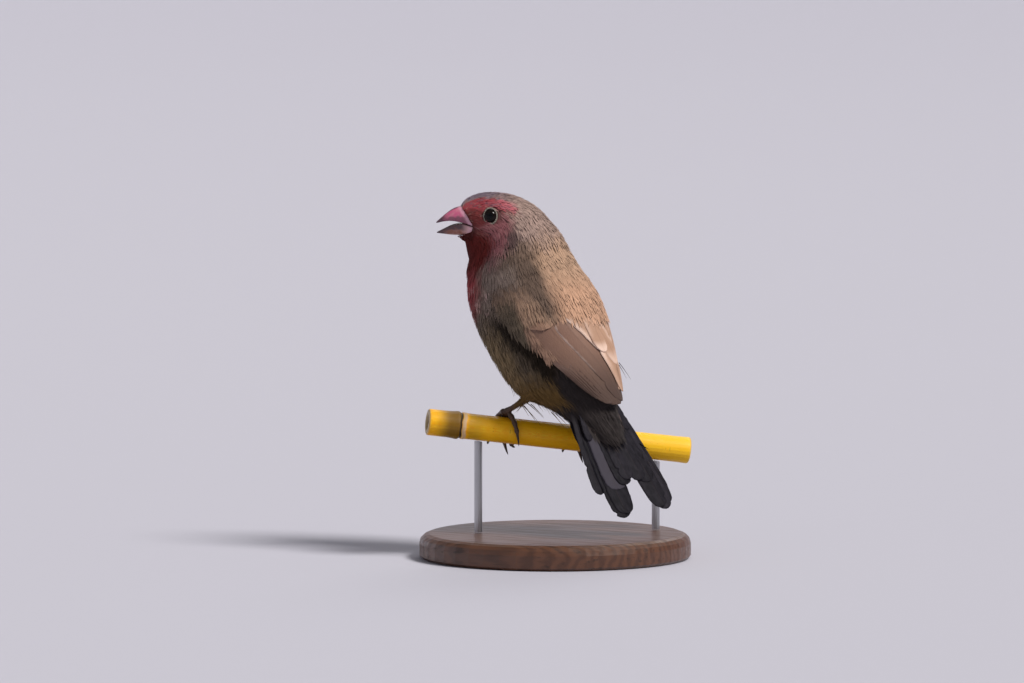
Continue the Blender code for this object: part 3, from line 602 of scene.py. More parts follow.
# Patches of the plumage: colour, middle and reach as rib and turn in degrees, softness, share, and
# whether the patch goes on round the underside
PATCHES = (
    ("cheek", (4.9, 88.0), (3.1, 30.0), 0.7, 1.0, False),
    ("throat", (4.0, 132.0), (4.3, 34.0), 0.5, 1.0, True),
    ("throat", (6.2, 112.0), (1.5, 20.0), 0.5, 1.0, False),
    ("breast", (8.9, 154.0), (1.7, 40.0), 0.8, 1.0, True),
    ("scapular", (9.3, 62.0), (1.8, 24.0), 0.7, 0.85, False),
    ("lore", (1.7, 76.0), (1.9, 24.0), 0.6, 1.0, False),
    ("brow", (2.4, 47.0), (3.0, 15.0), 0.45, 1.0, False),
    ("brow_back", (4.4, 42.0), (0.9, 10.0), 0.8, 0.7, False),
    ("ear", (6.9, 65.0), (0.7, 11.0), 0.7, 0.9, False),
)


def markings_group():
    """Colour of the plumage anywhere, from its place on the straight bird, its rib and its turn."""
    names = (
        "crown", "crown_front", "brow", "lore", "cheek", "throat", "ear", "nape", "mantle",
        "breast_side", "flank", "belly", "vent", "rump", "brow_back", "hollow", "breast", "scapular",
    )
    board, given, out, colour = colour_group("firefinch markings", "Rib", names)
    mix, step, times = board.mix, board.step, board.times
    wobble = board.minus(board.noise(given["Place"], 0.45, 3.0), 0.5)
    fine = board.minus(board.noise(given["Place"], 1.7, 2.0), 0.5)
    rib = board.plus(given["Rib"], times(wobble, 1.4))
    turn = board.plus(given["Turn"], times(board.plus(wobble, fine), 20.0))

    def squared(value, centre, radius):
        return board.math("POWER", board.math("DIVIDE", board.minus(value, centre), radius), 2.0)

    def patch(centre, radii, soft, share=1.0, under=False):
        """A soft ellipse about a rib and turn, or one that reaches round the underside from there."""
        across = board.math("MINIMUM", turn, centre[1]) if under else turn
        off = board.plus(squared(rib, centre[0], radii[0]), squared(across, centre[1], radii[1]))
        return times(step(off, 1.0 + soft, 1.0 - soft), share)

    # Upper side from bill to tail
    upper = mix(step(rib, 3.4, 5.8), colour["crown"], colour["nape"])
    upper = mix(step(rib, 7.2, 9.2), upper, colour["mantle"])
    upper = mix(step(rib, 12.2, 14.2), upper, colour["rump"])
    upper = mix(times(step(rib, 5.4, 2.6), step(turn, 42.0, 20.0)), upper, colour["crown_front"])
    # Under side from throat to vent
    under = mix(step(rib, 9.5, 12.0), colour["breast_side"], colour["flank"])
    under = mix(times(step(rib, 10.5, 13.0), step(turn, 92.0, 118.0)), under, colour["belly"])
    under = mix(step(rib, 13.4, 15.2), under, colour["vent"])
    under = mix(step(rib, 15.6, 16.5), under, colour["rump"])
    # Painted shadow: the flank under the folded wing's edge is painted dark where the wing's shadow falls on
    # it
    hollow = board.minus(turn, board.math("MULTIPLY_ADD", rib, -11.5, 224.0))
    hollow = step(board.math("ABSOLUTE", hollow), 24.0, 9.0)
    hollow = times(hollow, times(step(rib, 10.4, 11.6), step(rib, 16.8, 15.3)))
    under = mix(times(hollow, 0.95), under, colour["hollow"])
    edge = board.plus(step(rib, 6.4, 9.0, 104.0, 44.0), step(rib, 12.8, 15.4, 0.0, 22.0))
    tone = mix(step(turn, edge, board.plus(edge, 18.0)), upper, under)
    # Face, throat and breast
    for name, centre, radii, soft, share, round_under in PATCHES:
        tone = mix(patch(centre, radii, soft, share, round_under), tone, colour[name])
    speckle = times(patch((2.6, 40.0), (3.0, 14.0), 0.6), step(fine, 0.0, -0.16, 0.0, 0.6))
    tone = mix(speckle, tone, colour["crown_front"])
    mottle = times(step(rib, 7.0, 5.6), step(turn, 120.0, 95.0))
    tone = mix(times(mottle, step(fine, 0.04, 0.2, 0.0, 0.4)), tone, colour["nape"])
    tone = mix(times(mottle, step(fine, -0.04, -0.2, 0.0, 0.45)), tone, colour["ear"])
    board.feed(out["Colour"], tone)
    return board.tree


def barbs_group():
    """Fine slanting lines of a feather's barbs, from where a point lies across and along it."""
    kind = "NodeSocketFloat"
    inputs = {"Across": (kind, 0.0), "Along": (kind, 0.0), "Count": (kind, 60.0)}
    board, given, out = new_group("feather barbs", inputs, {"Line": kind})
    slant = board.minus(given["Along"], board.times(board.math("ABSOLUTE", given["Across"]), 0.1))
    wave = board.math("SINE", board.times(board.times(slant, given["Count"]), 6.283))
    board.feed(out["Line"], board.math("MULTIPLY_ADD", wave, 0.5, 0.5))
    return board.tree


def shared(name, maker):
    """A node group by name, built the first time that it is asked for."""
    return bpy.data.node_groups.get(name) or maker()


def markings(board):
    return board.group(
        shared("firefinch markings", markings_group),
        place=board.attribute("place", "Vector"), rib=board.attribute("rib"), turn=board.attribute("turn"),
    )["Colour"]


def wing_markings(board):
    return board.group(
        shared("wing markings", wing_markings_group),
        place=board.attribute("place", "Vector"), run=board.attribute("rib"), turn=board.attribute("turn"),
    )["Colour"]


def feather_material(name, specular, sheen, colouring):
    """Soft small feathers with a faint sheen, made the first time that they are asked for."""
    if name in bpy.data.materials:
        return bpy.data.materials[name]
    made, board, shader = new_material(
        name, 0.78, specular=specular, sheen_weight=sheen, sheen_roughness=0.5
    )
    board.finish(shader, shaded(board, colouring(board)))
    return made


def coat_material():
    return feather_material("firefinch_coat", 0.15, 0.06, markings)


def coverts_material():
    return feather_material("firefinch_coverts", 0.2, 0.12, wing_markings)


def shaded(board, colour):
    """A feather's colour, darker at its root, each blade a little lighter or darker than the next.

    A tone over 1 is a pale tip, the more the paler.
    """
    tone, along = board.attribute("tone"), board.attribute("along")
    dark = board.mix(1.0, colour, board.join(0.56, 0.52, 0.5), "MULTIPLY")
    colour = board.mix(board.step(along, 0.05, 0.7), dark, colour)
    light = board.math("MULTIPLY_ADD", board.math("MINIMUM", tone, 1.0), 0.48, 0.76)
    colour = board.mix(1.0, colour, board.join(light, light, light), "MULTIPLY")
    pale = board.math("SUBTRACT", tone, 1.0, clamp=True)
    pale = board.times(pale, board.step(along, 0.7, 0.95))
    return board.mix(pale, colour, paint(214, 176, 170))


def skin_material():
    made, board, shader = new_material("firefinch_skin", 0.8, specular=0.2)
    colour = board.mix(1.0, markings(board), board.join(0.5, 0.44, 0.42), "MULTIPLY")
    board.finish(shader, colour, board.noise(board.place(), 2600.0, 2.0))
    return made


def flight_material(
    name, base, edge, warm, barbs=70.0, rim=(0.78, 0.97), gloss=0.3, crescent=0.0, painted_end_shade=0.0
):
    """A flight feather: silky barbs, a fine shaft, a pale fringe and tip and a shade of its own.

    rim is where the fringe begins and is full, crescent how pale the tip is, and dusk how dark the painted
    shade over the end is.
    """
    made, board, shader = new_material(name, 0.6, specular=gloss)
    mix, step, times = board.mix, board.step, board.times
    across, along = board.attribute("across"), board.attribute("along")
    tone, fringe = board.attribute("tone"), board.attribute("fringe")
    line = shared("feather barbs", barbs_group)
    line = board.group(line, across=across, along=along, count=barbs)["Line"]
    cloud = board.noise(board.join(times(across, 2.0), times(along, 9.0), times(tone, 40.0)), 1.6, 4.0)
    colour = mix(times(tone, 0.5), base, warm)
    colour = mix(step(cloud, 0.3, 0.75, 0.0, 0.2), colour, warm)
    colour = mix(times(line, 0.07), colour, (0.02, 0.014, 0.012))
    side = board.math("ABSOLUTE", across)
    ragged = board.plus(side, times(board.minus(cloud, 0.5), 0.3))
    fade = step(along, 0.6, 0.8, 1.0, step(fringe, 0.75, 0.9))  # a faint fringe ends half way
    pale = times(step(ragged, *rim), times(fade, fringe))
    if crescent:
        tip = board.math("MULTIPLY_ADD", board.math("POWER", side, 2.0), 0.05, along)
        tip = times(step(tip, 0.78, 0.96), step(fringe, 0.7, 0.4, 0.0, crescent))
        pale = board.math("MAXIMUM", pale, tip)
    colour = mix(pale, colour, edge)
    colour = mix(step(side, 0.06, 0.02, 0.0, 0.14), colour, (0.05, 0.032, 0.026))
    root = step(along, 0.0, 0.4, 0.4, 0.0)
    # Painted shade: the feather darkens towards its end, like the shaded tip of the folded wing
    painted_end_shade_mask = times(step(along, 0.38, 0.95, 0.0, painted_end_shade), step(tone, 0.95, 0.88))
    colour = mix(board.math("MAXIMUM", root, painted_end_shade_mask), colour, (0.03, 0.022, 0.02))
    board.finish(shader, colour, board.plus(times(line, 0.5), times(cloud, 0.5)), 0.22)
    return made


# Skin

# Tables by rib
COAT_DEPTH = ((0.0, 0.3), (2.0, 0.45), (4.0, 0.6), (6.0, 0.8), (9.0, 1.1), (12.0, 1.3), (18.5, 1.2))
SPACING = ((0.0, 0.40), (2.0, 0.50), (4.0, 0.62), (6.0, 0.80), (8.0, 0.95), (11.0, 1.1), (18.0, 1.2))
LENGTH = ((0, 0.8), (1, 1.5), (2.5, 2.3), (4, 3.0), (6, 3.9), (8, 4.8), (11, 5.8), (18, 6.8))
WING_OVER = ((9, 0), (14, 30), (15, 35), (16, 39), (17, 43))  # the wing's distance over a rib

SKIN_END = 18.2  # the skin's last rib
SKIN_GRAIN = 0.38  # size of the remeshed skin's faces


def leg_line(side_name):
    """Where a leg meets its foot, the direction that it rises in and the length of the bare shank."""
    foot_at, heel, bare = FEET[side_name]
    foot = perch_point(foot_at, 0.0, PERCH_RADIUS + TOUCH + FOOT_RISE)
    return foot, unit(np.array(heel) - foot), bare


def boot_path(side_name):
    """The feathered boot's path and radii, from inside the flank to the bare shank."""
    foot, rise, bare = leg_line(side_name)
    end = foot + rise * (bare + TOUCH)
    high = np.array([4.0 * dict(SIDES)[side_name], 5.0, 50.5])  # well inside the body
    middle = end + rise * 2.6 + 0.2 * (high - end)
    path = np.array([high, (high + middle) / 2, middle, end * 0.6 + middle * 0.4, end])
    return path, np.array([3.1, 3.9, 2.9, 1.7, 1.0])


def horn_front(y, z):
    """How far a point of the face lies before the line where its feathers begin, in millimetres."""
    slope = np.where(z > MOUTH_CORNER[1], 0.64 * (z - MOUTH_CORNER[1]), 0.1 * (MOUTH_CORNER[1] - z))
    front = MOUTH_CORNER[0] - slope - y
    return np.minimum(front, np.minimum(HORN_TOP - z, z - HORN_BOTTOM))


def vent_tuck(t, turn):
    """How much deeper skin and coat lie between the legs and the tail."""
    return 1.3 * smooth((t - 14.0) / 1.4) * smooth((18.4 - t) / 1.2) * smooth((turn - 80) / 50)


def skin_cloud(t, angle):
    """Points of the skin at ribs and angles: under the coat, and deeper inside the horn of the bill."""
    surface = BodySurface()
    _, y, z = surface.straight(t, angle).T
    dent = (0.75 + 0.7 * smooth(84 - z)) * smooth((horn_front(y, z) + 0.3) / 0.8)
    return surface.at(t, angle, -read(COAT_DEPTH, t) - dent - vent_tuck(t, turn_of(angle)))


def skin_grid(rows, columns):
    """Ribs and angles of a grid of points over the skin."""
    return np.repeat(np.linspace(0.0, SKIN_END, rows), columns), np.tile(circle(columns), rows)


def make_skin():
    """One skin for head, neck, body and boots, under the coat, with no seam."""
    rows, columns = 150, 96
    body = capped(skin_cloud(*skin_grid(rows, columns)), rows, columns)
    parts = [(body[0], outward(*body))]
    for side_name in FEET:
        path, radii = boot_path(side_name)
        rows, columns = 24, 20
        at = np.linspace(0, len(path) - 1, rows)
        girth = np.maximum(np.interp(at, np.arange(len(path)), radii) - 0.7, 0.75)
        points, triangles = capped(tube_points(spline(path, at), girth, columns), rows, columns)
        parts.append((points, outward(points, triangles)))
    raw = solid("skin", *merged(parts))
    remesh = raw.modifiers.new("one skin", "REMESH")
    remesh.mode, remesh.voxel_size, remesh.use_smooth_shade = "VOXEL", SKIN_GRAIN * MM, True
    ease = raw.modifiers.new("ease", "SMOOTH")
    ease.factor, ease.iterations = 0.5, 4
    mesh = evaluated_mesh(raw)
    bpy.data.objects.remove(raw)
    skin = placed("skin", mesh)
    mark_skin(mesh)
    nodes = ("head", "neck", "torso", "thigh_left", "thigh_right")
    return finish_piece(skin, skin_material(), nodes)


def evaluated_mesh(obj):
    """The object's mesh with its modifiers applied, as a plain mesh of its own."""
    bpy.context.view_layer.update()
    graph = bpy.context.evaluated_depsgraph_get()
    return bpy.data.meshes.new_from_object(obj.evaluated_get(graph))


def mark_skin(mesh):
    """Writes each skin point's place on the straight bird, rib and turn, by the nearest rib point."""
    t, angle = skin_grid(180, 72)
    cloud = (skin_cloud(t, angle) + BIRD_PLACE) * MM
    tree = KDTree(len(cloud))
    for i, p in enumerate(cloud):
        tree.insert(p, i)
    tree.balance()
    nearest = np.array([tree.find(v.co)[1] for v in mesh.vertices])
    t, angle = t[nearest], angle[nearest]
    write(mesh, {"rib": t, "turn": turn_of(angle), "place": BodySurface().straight(t, angle)})


def turn_of(angle):
    """Degrees from the back, the same on either side."""
    return np.abs((np.degrees(angle) + 180) % 360 - 180)


# Coat of small feathers

DARTS = 9  # thrown for each feather that has room
SOFTNESS = 0.3  # how far a blade's sides are lit as if they turned away
BLADE_ROWS = np.array([0.0, 0.5, 0.82, 1.0])  # shares of a blade's length, from root to tip


def draws(number):
    """The random numbers of one group of pieces."""
    return np.random.default_rng(settings().plumage.seed + number)


def even(spacing):
    return lambda place: np.full(len(place), spacing)


def scatter(surface, u_range, v_range, spacing, wanted, rng):
    """Places set apart by the wanted spacing, found by throwing darts over the surface."""
    samples = 120
    u_fine = np.linspace(*u_range, samples)
    du, dv = metric(surface, u_fine, np.full(samples, np.mean(v_range)))
    weight = du * dv / spacing(u_fine) ** 2
    total = np.trapz(weight, u_fine) * (v_range[1] - v_range[0])
    count = int(total * DARTS)
    cumulative = np.concatenate([[0], np.cumsum((weight[1:] + weight[:-1]) / 2)])
    u = np.interp(rng.random(count) * cumulative[-1], cumulative, u_fine)
    v = v_range[0] + rng.random(count) * (v_range[1] - v_range[0])
    keep = wanted(u, v)
    u, v = u[keep], v[keep]
    points = surface.at(u, v)
    reach = spacing(u)
    cell = float(reach.max())
    grid, chosen = {}, []
    cells = np.floor(points / cell).astype(int)
    steps = [(a, b, c) for a in (-1, 0, 1) for b in (-1, 0, 1) for c in (-1, 0, 1)]
    for i, (key, p, r) in enumerate(zip(map(tuple, cells), points, reach)):
        close = (q for a, b, c in steps for q in grid.get((key[0] + a, key[1] + b, key[2] + c), ()))
        if all((p[0] - q[0]) ** 2 + (p[1] - q[1]) ** 2 + (p[2] - q[2]) ** 2 >= r * r for q in close):
            grid.setdefault(key, []).append(p)
            chosen.append(i)
    return u[chosen], v[chosen]


def blade_faces(rings):
    """Triangles of a blade of three corners a ring: its root, its sides and its tip."""
    faces = [(0, 2, 1)]
    for r in range(rings - 1):
        for k in range(3):
            a, b = 3 * r + k, 3 * r + (k + 1) % 3
            faces += [(a, b, b + 3), (a, b + 3, a + 3)]
    base = 3 * (rings - 1)
    return np.array(faces + [(base + k, base + (k + 1) % 3, base + 3) for k in range(3)])


def fans(surface, u, v, length, width, blades, blade_width, low, high, lean, rng, frizz):
    """Small feathers as fans of thin closed blades that follow the surface.

    low and high are the heights of a feather's root and tip over the surface, lean turns its lie, and
    frizz bends its blades to either side.
    Returns points, triangles, and each point's along, tone, root place, rib, turn, atlas place and the
    soft normal that it is lit by.
    """
    count = len(u)
    spread = np.linspace(-1, 1, blades)[None, :] + rng.normal(0, 0.35 / blades, (count, blades))
    reach = length[:, None] * (1 - 0.24 * spread**2) * (1 + rng.normal(0, 0.07, (count, blades)))
    drift = rng.normal(0, 1, (count, blades)) * np.broadcast_to(frizz, count)[:, None]
    lifted = rng.normal(0, 0.1, (count, blades)) * (high - low)[:, None]
    q = BLADE_ROWS
    fan = np.interp(q, [0, 0.25, 0.6, 1.0], [0.12, 0.62, 0.95, 1.02])
    half = np.interp(q, [0, 0.3, 0.75, 1.0], [0.55, 1.0, 0.8, 0.06]) * 0.5
    side = width[:, None, None] / 2 * spread[..., None] * fan + (drift * reach)[..., None] * q**2
    run = reach[..., None] * q
    rise = low[:, None, None] + (high - low)[:, None, None] * q**0.8 + lifted[..., None] * q**2
    rise = rise - 0.10 * width[:, None, None] * spread[..., None] ** 2 * (0.3 + 0.7 * q)
    wide = (blade_width[:, None] * (1 + rng.normal(0, 0.12, (count, blades))))[..., None] * half
    # Three corners a row: both edges and a ridge between them
    side = np.stack([side - wide, side + wide, side], -1)
    rise = np.stack([rise, rise, rise + 0.2 * wide + 0.02], -1)
    run = np.stack([run] * 3, -1)
    c, s = np.cos(lean)[:, None, None, None], np.sin(lean)[:, None, None, None]
    du, dv = metric(surface, u, v)
    shape = (count, 1, 1, 1)
    uu = u.reshape(shape) + (run * c - side * s) / du.reshape(shape)
    vv = v.reshape(shape) + (run * s + side * c) / dv.reshape(shape)
    points = surface.at(uu.ravel(), vv.ravel(), rise.ravel()).reshape(count * blades, len(q), 3, 3)
    normals = surface.at(uu.ravel(), vv.ravel(), rise.ravel() + 0.2).reshape(points.shape) - points
    way = points - points.mean(2, keepdims=True)
    normals = unit(unit(normals) + SOFTNESS * unit(way))
    ring = len(q) - 1
    each = ring * 3 + 1

    def tipped(rows):
        """The corners of each blade's rings, and their middle at its tip."""
        tip = rows[:, ring].mean(1)[:, None]
        return np.concatenate([rows[:, :ring].reshape(-1, ring * 3, 3), tip], 1)

    points, normals = tipped(points), tipped(normals)
    triangles = (np.arange(count * blades)[:, None, None] * each + blade_faces(ring)).reshape(-1, 3)
    along = np.tile(np.concatenate([np.repeat(q[:ring], 3), [1.0]]), count * blades)
    shade = np.clip(rng.normal(0.5, 0.17, (count, 1)) + rng.normal(0, 0.07, (count, blades)), 0, 1)
    tone = np.repeat(shade.ravel(), each)
    ahead, aside = 0.75 * reach, width[:, None] / 2 * spread + 0.5 * drift * reach
    c, s, du, dv = (x.reshape(count, 1) for x in (c, s, du, dv))
    at_u = (u[:, None] + (ahead * c - aside * s) / du).ravel()
    at_v = (v[:, None] + (ahead * s + aside * c) / dv).ravel()
    per = blades * each
    place = np.repeat(surface.straight(at_u, at_v), each, axis=0)
    strip = np.tile(np.repeat(np.linspace(-0.5, 0.5, blades), each), count)
    patch = 0.003 * np.stack([along - 0.5, strip], -1)
    atlas = np.repeat(surface.atlas(u, v), per, axis=0) + patch
    rib, turn = np.repeat(at_u, each), np.repeat(turn_of(at_v), each)
    points, normals = points.reshape(-1, 3), normals.reshape(-1, 3)
    return points, outward(points, triangles), along, tone, place, rib, turn, atlas, normals


def marked(part, rib, turn):
    """The same feathers with the markings of one rib and turn of the body."""
    n = len(part[0])
    return (*part[:5], np.full(n, rib), np.full(n, turn), *part[7:])


def spotted(part, chosen, pale):
    """The same feathers with paler tips on those that are chosen."""
    each = np.repeat(chosen, len(part[0]) // len(chosen))
    return (*part[:3], np.where(each, 1.0 + pale, part[3]), *part[4:])


def coat_piece(name, part, finish=None):
    points, triangles, along, tone, place, rib, turn, atlas, normals = part
    columns = {"along": along, "tone": tone, "rib": rib, "turn": turn, "place": place}
    piece = solid(name, points, triangles, columns, atlas, normals)
    return finish_piece(piece, finish or coat_material())


def eye_clear(u, v):
    """True where a feather's root keeps off the eye, its lids and the horn of the bill."""
    _, y, z = BodySurface().straight(u, v).T
    eye = np.hypot(y - EYE_AT[0], z - EYE_AT[1]) > EYE_BARE
    return eye & (horn_front(y, z) < 0.0)


def under_wing(u, v):
    """True where the folded wing hides the body: between its top and its lower edge."""
    s, turn = read(WING_OVER, u), np.radians(turn_of(v))
    below = WingSurface(1).low_edge(s) - math.radians(16)
    return (s > 9.5) & (s < 36) & (turn < below) & (turn > math.radians(4))


def make_coat():
    """The small feathers of the body in pieces from the bill to the tail."""
    rng = draws(0)
    surface = BodySurface()
    density = settings().plumage.density
    zones = (
        ("coat_face", 0.06, 4.4, 5, "plumage_face"),
        ("coat_neck", 4.4, 7.6, 7, "plumage_neck"),
        ("coat_breast", 7.6, 10.6, 7, "plumage_neck"),
        ("coat_flank", 10.6, 13.6, 7, "plumage_belly"),
        ("coat_vent", 13.6, 17.8, 8, "plumage_belly"),
    )
    for name, first, last, blades, slot in zones:
        u, v = scatter(
            surface, (first, last), (0, 2 * np.pi), lambda t: read(SPACING, t) / density,
            lambda a, b: eye_clear(a, b) & ~under_wing(a, b), rng,
        )
        length = read(LENGTH, u) * (1 + rng.normal(0, 0.1, len(u)))
        depth = read(COAT_DEPTH, u)
        turn = turn_of(v)
        tuck = vent_tuck(u, turn)
        _, y, z = surface.straight(u, v).T
        ear = np.exp(-((y + 8.5) ** 2 + (z - 80.0) ** 2) / 3.0)
        belly = smooth((u - 11.5) / 3) * smooth((turn - 75) / 40)
        lean = rng.normal(0, 0.09, len(u)) + rng.normal(0, 0.5, len(u)) * ear
        lean -= np.sign(np.sin(v)) * 0.12 * smooth((u - 9) / 4) * smooth((turn - 60) / 50)
        high = (-0.12 + rng.normal(0, 0.05, len(u)) + 0.35 * ear + 0.06 * belly) * depth - tuck
        part = fans(
            surface, u, v, length, 0.54 * length, blades, 0.17 + 0.06 * length,
            -1.05 * depth - tuck, high, lean, rng, 0.06 + 0.13 * belly + 0.1 * ear,
        )
        dots = (turn > 104) & (turn < 165) & (u > 7.6) & (u < 9.9) & (rng.random(len(u)) < 0.18)
        coat_piece(name, spotted(part, dots, 0.7))


# Hairs by the near leg: place across the view, height, length and lean
LEG_HAIRS = (
    (-6.6, 39.5, 4.6, 0.55), (-5.8, 38.6, 6.2, 0.75), (-5.2, 38.2, 5.4, 0.6), (-4.6, 39.0, 4.8, 0.9),
    (-3.6, 38.6, 4.0, 0.8), (1.6, 36.4, 4.4, 0.7), (2.6, 36.2, 3.8, 0.8),
)
EDGE_HAIRS = ((49.4, 4.8, 0.62), (48.8, 3.8, 0.5))  # behind the wing's edge: height, length and lean


def hair_path(root, run, way, fall):
    """A hair's path from its root along a way, bent by a fall."""
    q = np.linspace(0, 1, 7)[:, None]
    return root + run * (q * way + q**2 * np.asarray(fall))


def make_wisps():
    """Loose hair-like strands at the vent, over the thighs, behind the wing's edge and at the chin."""
    rng = draws(61)
    surface = BodySurface()
    parts = []
    for _ in range(80):
        u, side = rng.uniform(14.0, 16.0), rng.choice((-1, 1))
        v = side * math.radians(rng.uniform(80, 165))
        u, v = np.array([u]), np.array([v])
        root = surface.at(u, v, -0.6 - vent_tuck(u, turn_of(v)))[0]
        way = unit(surface.at(u + 0.4, v)[0] - surface.at(u, v)[0])
        out = unit(surface.at(u, v, 0.6)[0] - root)
        run = rng.uniform(2.5, 4.8)
        path = hair_path(root, run, 0.9 * way + 0.2 * out, (rng.normal(0, 0.1), 0.05, -0.3))
        parts.append(strand(path, 0.1, rng.uniform(0.1, 0.6) + 0.7 * (u[0] > 15.2), 14.9, 90.0))
    right, away = view_axes()
    for across, z, run, lean in LEG_HAIRS:
        near = min(math.hypot(across, 5.0), 8.0) - 2.2
        root = right * across - away * near + np.array([0, 0, z])
        path = hair_path(root, run, right * lean + np.array([0, 0, -0.7]), (0, 0, -0.12))
        parts.append(strand(path, 0.14, 0.3, 14.9, 95.0))
    for z, run, lean in EDGE_HAIRS:
        root = np.array([-3.0, 21.0, z]) - right
        path = hair_path(root, run, right * lean + np.array([0, 0, -0.78]), (0, 0, -0.1))
        parts.append(strand(path, 0.11, 0.4, 17.0, 90.0))
    for _ in range(150):  # the chin's feathers point forward under the lower jaw
        fall, x = rng.random(), rng.uniform(-2.5, 2.5)
        bow = np.array([0, 0.12 * x**2, 0.14 * x**2])
        root = np.array([x * 1.1, -19.4, 79.3 - 1.7 * fall]) + bow
        tip = np.array([x * 0.8, -22.8 + 2.2 * fall + rng.normal(0, 0.12), 80.0 - 1.7 * fall]) + bow
        path = turned(root + np.linspace(0, 1, 6)[:, None] * (tip - root))
        parts.append(strand(path, 0.17, rng.uniform(0.2, 0.7), 3.0, 140.0))
    coat_piece("wisps", merged(parts))


def strand(path, radius, tone, rib, turn):
    """A loose strand that tapers to its tip, marked as one rib and turn of the body."""
    rows, columns = len(path), 4
    rings = tube_points(path, radius * (1 - 0.8 * np.linspace(0, 1, rows)), columns)
    points, triangles = capped(rings, rows, columns)
    n = len(points)
    along = by_ring(np.linspace(0.4, 1, rows), columns, [0.4, 1.0])
    ends = path[:1] * 2 - path[1:2], path[-1:] * 2 - path[-2:-1]
    middle = np.vstack([np.repeat(path, columns, axis=0), *ends])
    atlas = np.column_stack([0.97 + 0.003 * along, np.full(n, 0.02 + 0.9 * tone)])
    marks = np.tile(path[0], (n, 1)), np.full(n, rib), np.full(n, turn), atlas, unit(points - middle)
    return points, outward(points, triangles), along, np.full(n, tone), *marks


def make_boots_coat():
    """Feathers down the boots of both legs."""
    rng = draws(1)
    parts = []
    for side_name in FEET:
        surface = PathSurface(*boot_path(side_name))
        u, v = scatter(surface, (0.9, 3.75), (0, 2 * np.pi), even(0.75), lambda a, b: a > 0, rng)
        length = 2.6 + 1.6 * (1 - u / 4)
        part = fans(
            surface, u, v, length, 0.5 * length, 6, 0.13 + 0.04 * length, np.full(len(u), -0.6),
            rng.normal(0.0, 0.12, len(u)), rng.normal(0, 0.15, len(u)), rng, 0.16,
        )
        parts.append(marked(part, 14.9, 95.0))
    coat_piece("coat_boots", merged(parts))


class PathSurface:
    """A round surface about a path, by row number and angle."""

    def __init__(self, path, radii):
        self.path, self.radii = path, radii
        self.side = unit(np.cross(unit(path[-1] - path[0]), (0.0, 0.0, 1.0)))

    def at(self, u, v, out=0.0):
        centre = spline(self.path, u)
        along = unit(spline(self.path, u + 0.05) - spline(self.path, u - 0.05))
        side = unit(self.side - along * (along @ self.side)[:, None])
        up = np.cross(along, side)
        r = np.interp(u, np.arange(len(self.radii)), self.radii) + out
        return centre + r[:, None] * (np.cos(v)[:, None] * side + np.sin(v)[:, None] * up)

    straight = at

    def atlas(self, u, v):
        return np.column_stack([0.52 + 0.01 * u, v / (2 * np.pi) * 0.2 + 0.306])


# Flight feathers

# Outlines of feathers: share of the length, and share of the width there
FLIGHT_SHAPE = ((0.0, 0.35), (0.12, 0.75), (0.35, 0.98), (0.7, 1.0), (0.88, 0.86), (0.96, 0.62), (1.0, 0.18))
TERTIAL_SHAPE = ((0.0, 0.4), (0.15, 0.8), (0.5, 1.0), (0.8, 0.95), (0.92, 0.72), (0.98, 0.4), (1.0, 0.12))
COVERT_SHAPE = ((0.0, 0.5), (0.3, 0.95), (0.75, 1.0), (0.9, 0.82), (0.97, 0.5), (1.0, 0.15))
TAIL_SHAPE = (
    (0.0, 0.4), (0.12, 0.75), (0.35, 0.96), (0.8, 1.0), (0.92, 0.9), (0.97, 0.68), (0.99, 0.42), (1.0, 0.12),
)
VANE = np.array([-1.0, -0.8, -0.52, -0.25, -0.05, 0.0, 0.05, 0.25, 0.52, 0.8, 1.0])  # columns across it
CROWN = ((0.0, 1.6), (0.05, 1.1), (0.12, 0.7), (0.5, 0.6), (1.0, 0.12))  # thickness from shaft to edge


def plume(place, width, thick, tone, fringe, rng, rows, shape=FLIGHT_SHAPE, notches=0, skew=0.0):
    """A flight feather as a closed vane with a raised shaft: place(q, v, h, slant) gives its points.

    q runs along it, v across it in millimetres and h is the height over its own plane. skew shifts the
    shaft towards its outer edge. Its edge is nicked where barbs have parted.
    """
    q = 1 - (1 - np.linspace(0, 1, rows)) ** 1.25
    outline = read(shape, q)
    nick = np.ones((rows, len(VANE)))
    for _ in range(notches):
        row = rng.integers(rows // 2, rows - 3)
        left = rng.random() < 0.5
        nick[row, 0 if left else -1] = rng.uniform(0.55, 0.8)
        nick[row, 1 if left else -2] = 0.92
    edge = 1 + rng.normal(0, 0.012, rows)
    v = VANE[None, :] * nick * (outline * edge)[:, None] * width / 2
    v = v + skew * width / 2 * (1 - np.abs(VANE))[None, :] * outline[:, None]
    slant = 0.3 * np.abs(v) * (1 - q)[:, None]
    crown = read(CROWN, np.abs(VANE)) * thick
    sag = -0.05 * np.abs(VANE) ** 2 * width / 2
    qq = np.repeat(q[:, None], len(VANE), 1)

    def face(height):
        """One side of the vane, from the heights across it."""
        h = np.tile(height, (rows, 1)) * (1 - 0.4 * qq)
        return place(qq.ravel(), v.ravel(), h.ravel(), slant.ravel()).reshape(rows, -1, 3)

    columns = 2 * len(VANE)
    loop = np.concatenate([face(crown + sag), face(sag - 0.3 * crown)[:, ::-1]], 1)
    points, triangles = capped(loop, rows, columns)
    cross = by_column(np.concatenate([VANE, VANE[::-1]]), rows, [0.0, 0.0])
    along = by_ring(q, columns, [0.0, 1.0])
    n = len(points)
    return points, outward(points, triangles), cross, along, np.full(n, tone), np.full(n, fringe)


def plume_piece(name, parts, finish, nodes=()):
    """One mesh of many flight feathers, each with a strip of its own in the atlas."""
    strips = []
    for i, part in enumerate(parts):
        u = (i + 0.5 + 0.4 * part[2]) / len(parts)
        strips.append((*part, np.column_stack([u, 0.02 + 0.96 * part[3]])))
    points, triangles, across, along, tone, fringe, atlas = merged(strips)
    columns = {"across": across, "along": along, "tone": tone, "fringe": fringe}
    return finish_piece(solid(name, points, triangles, columns, atlas), finish, nodes)


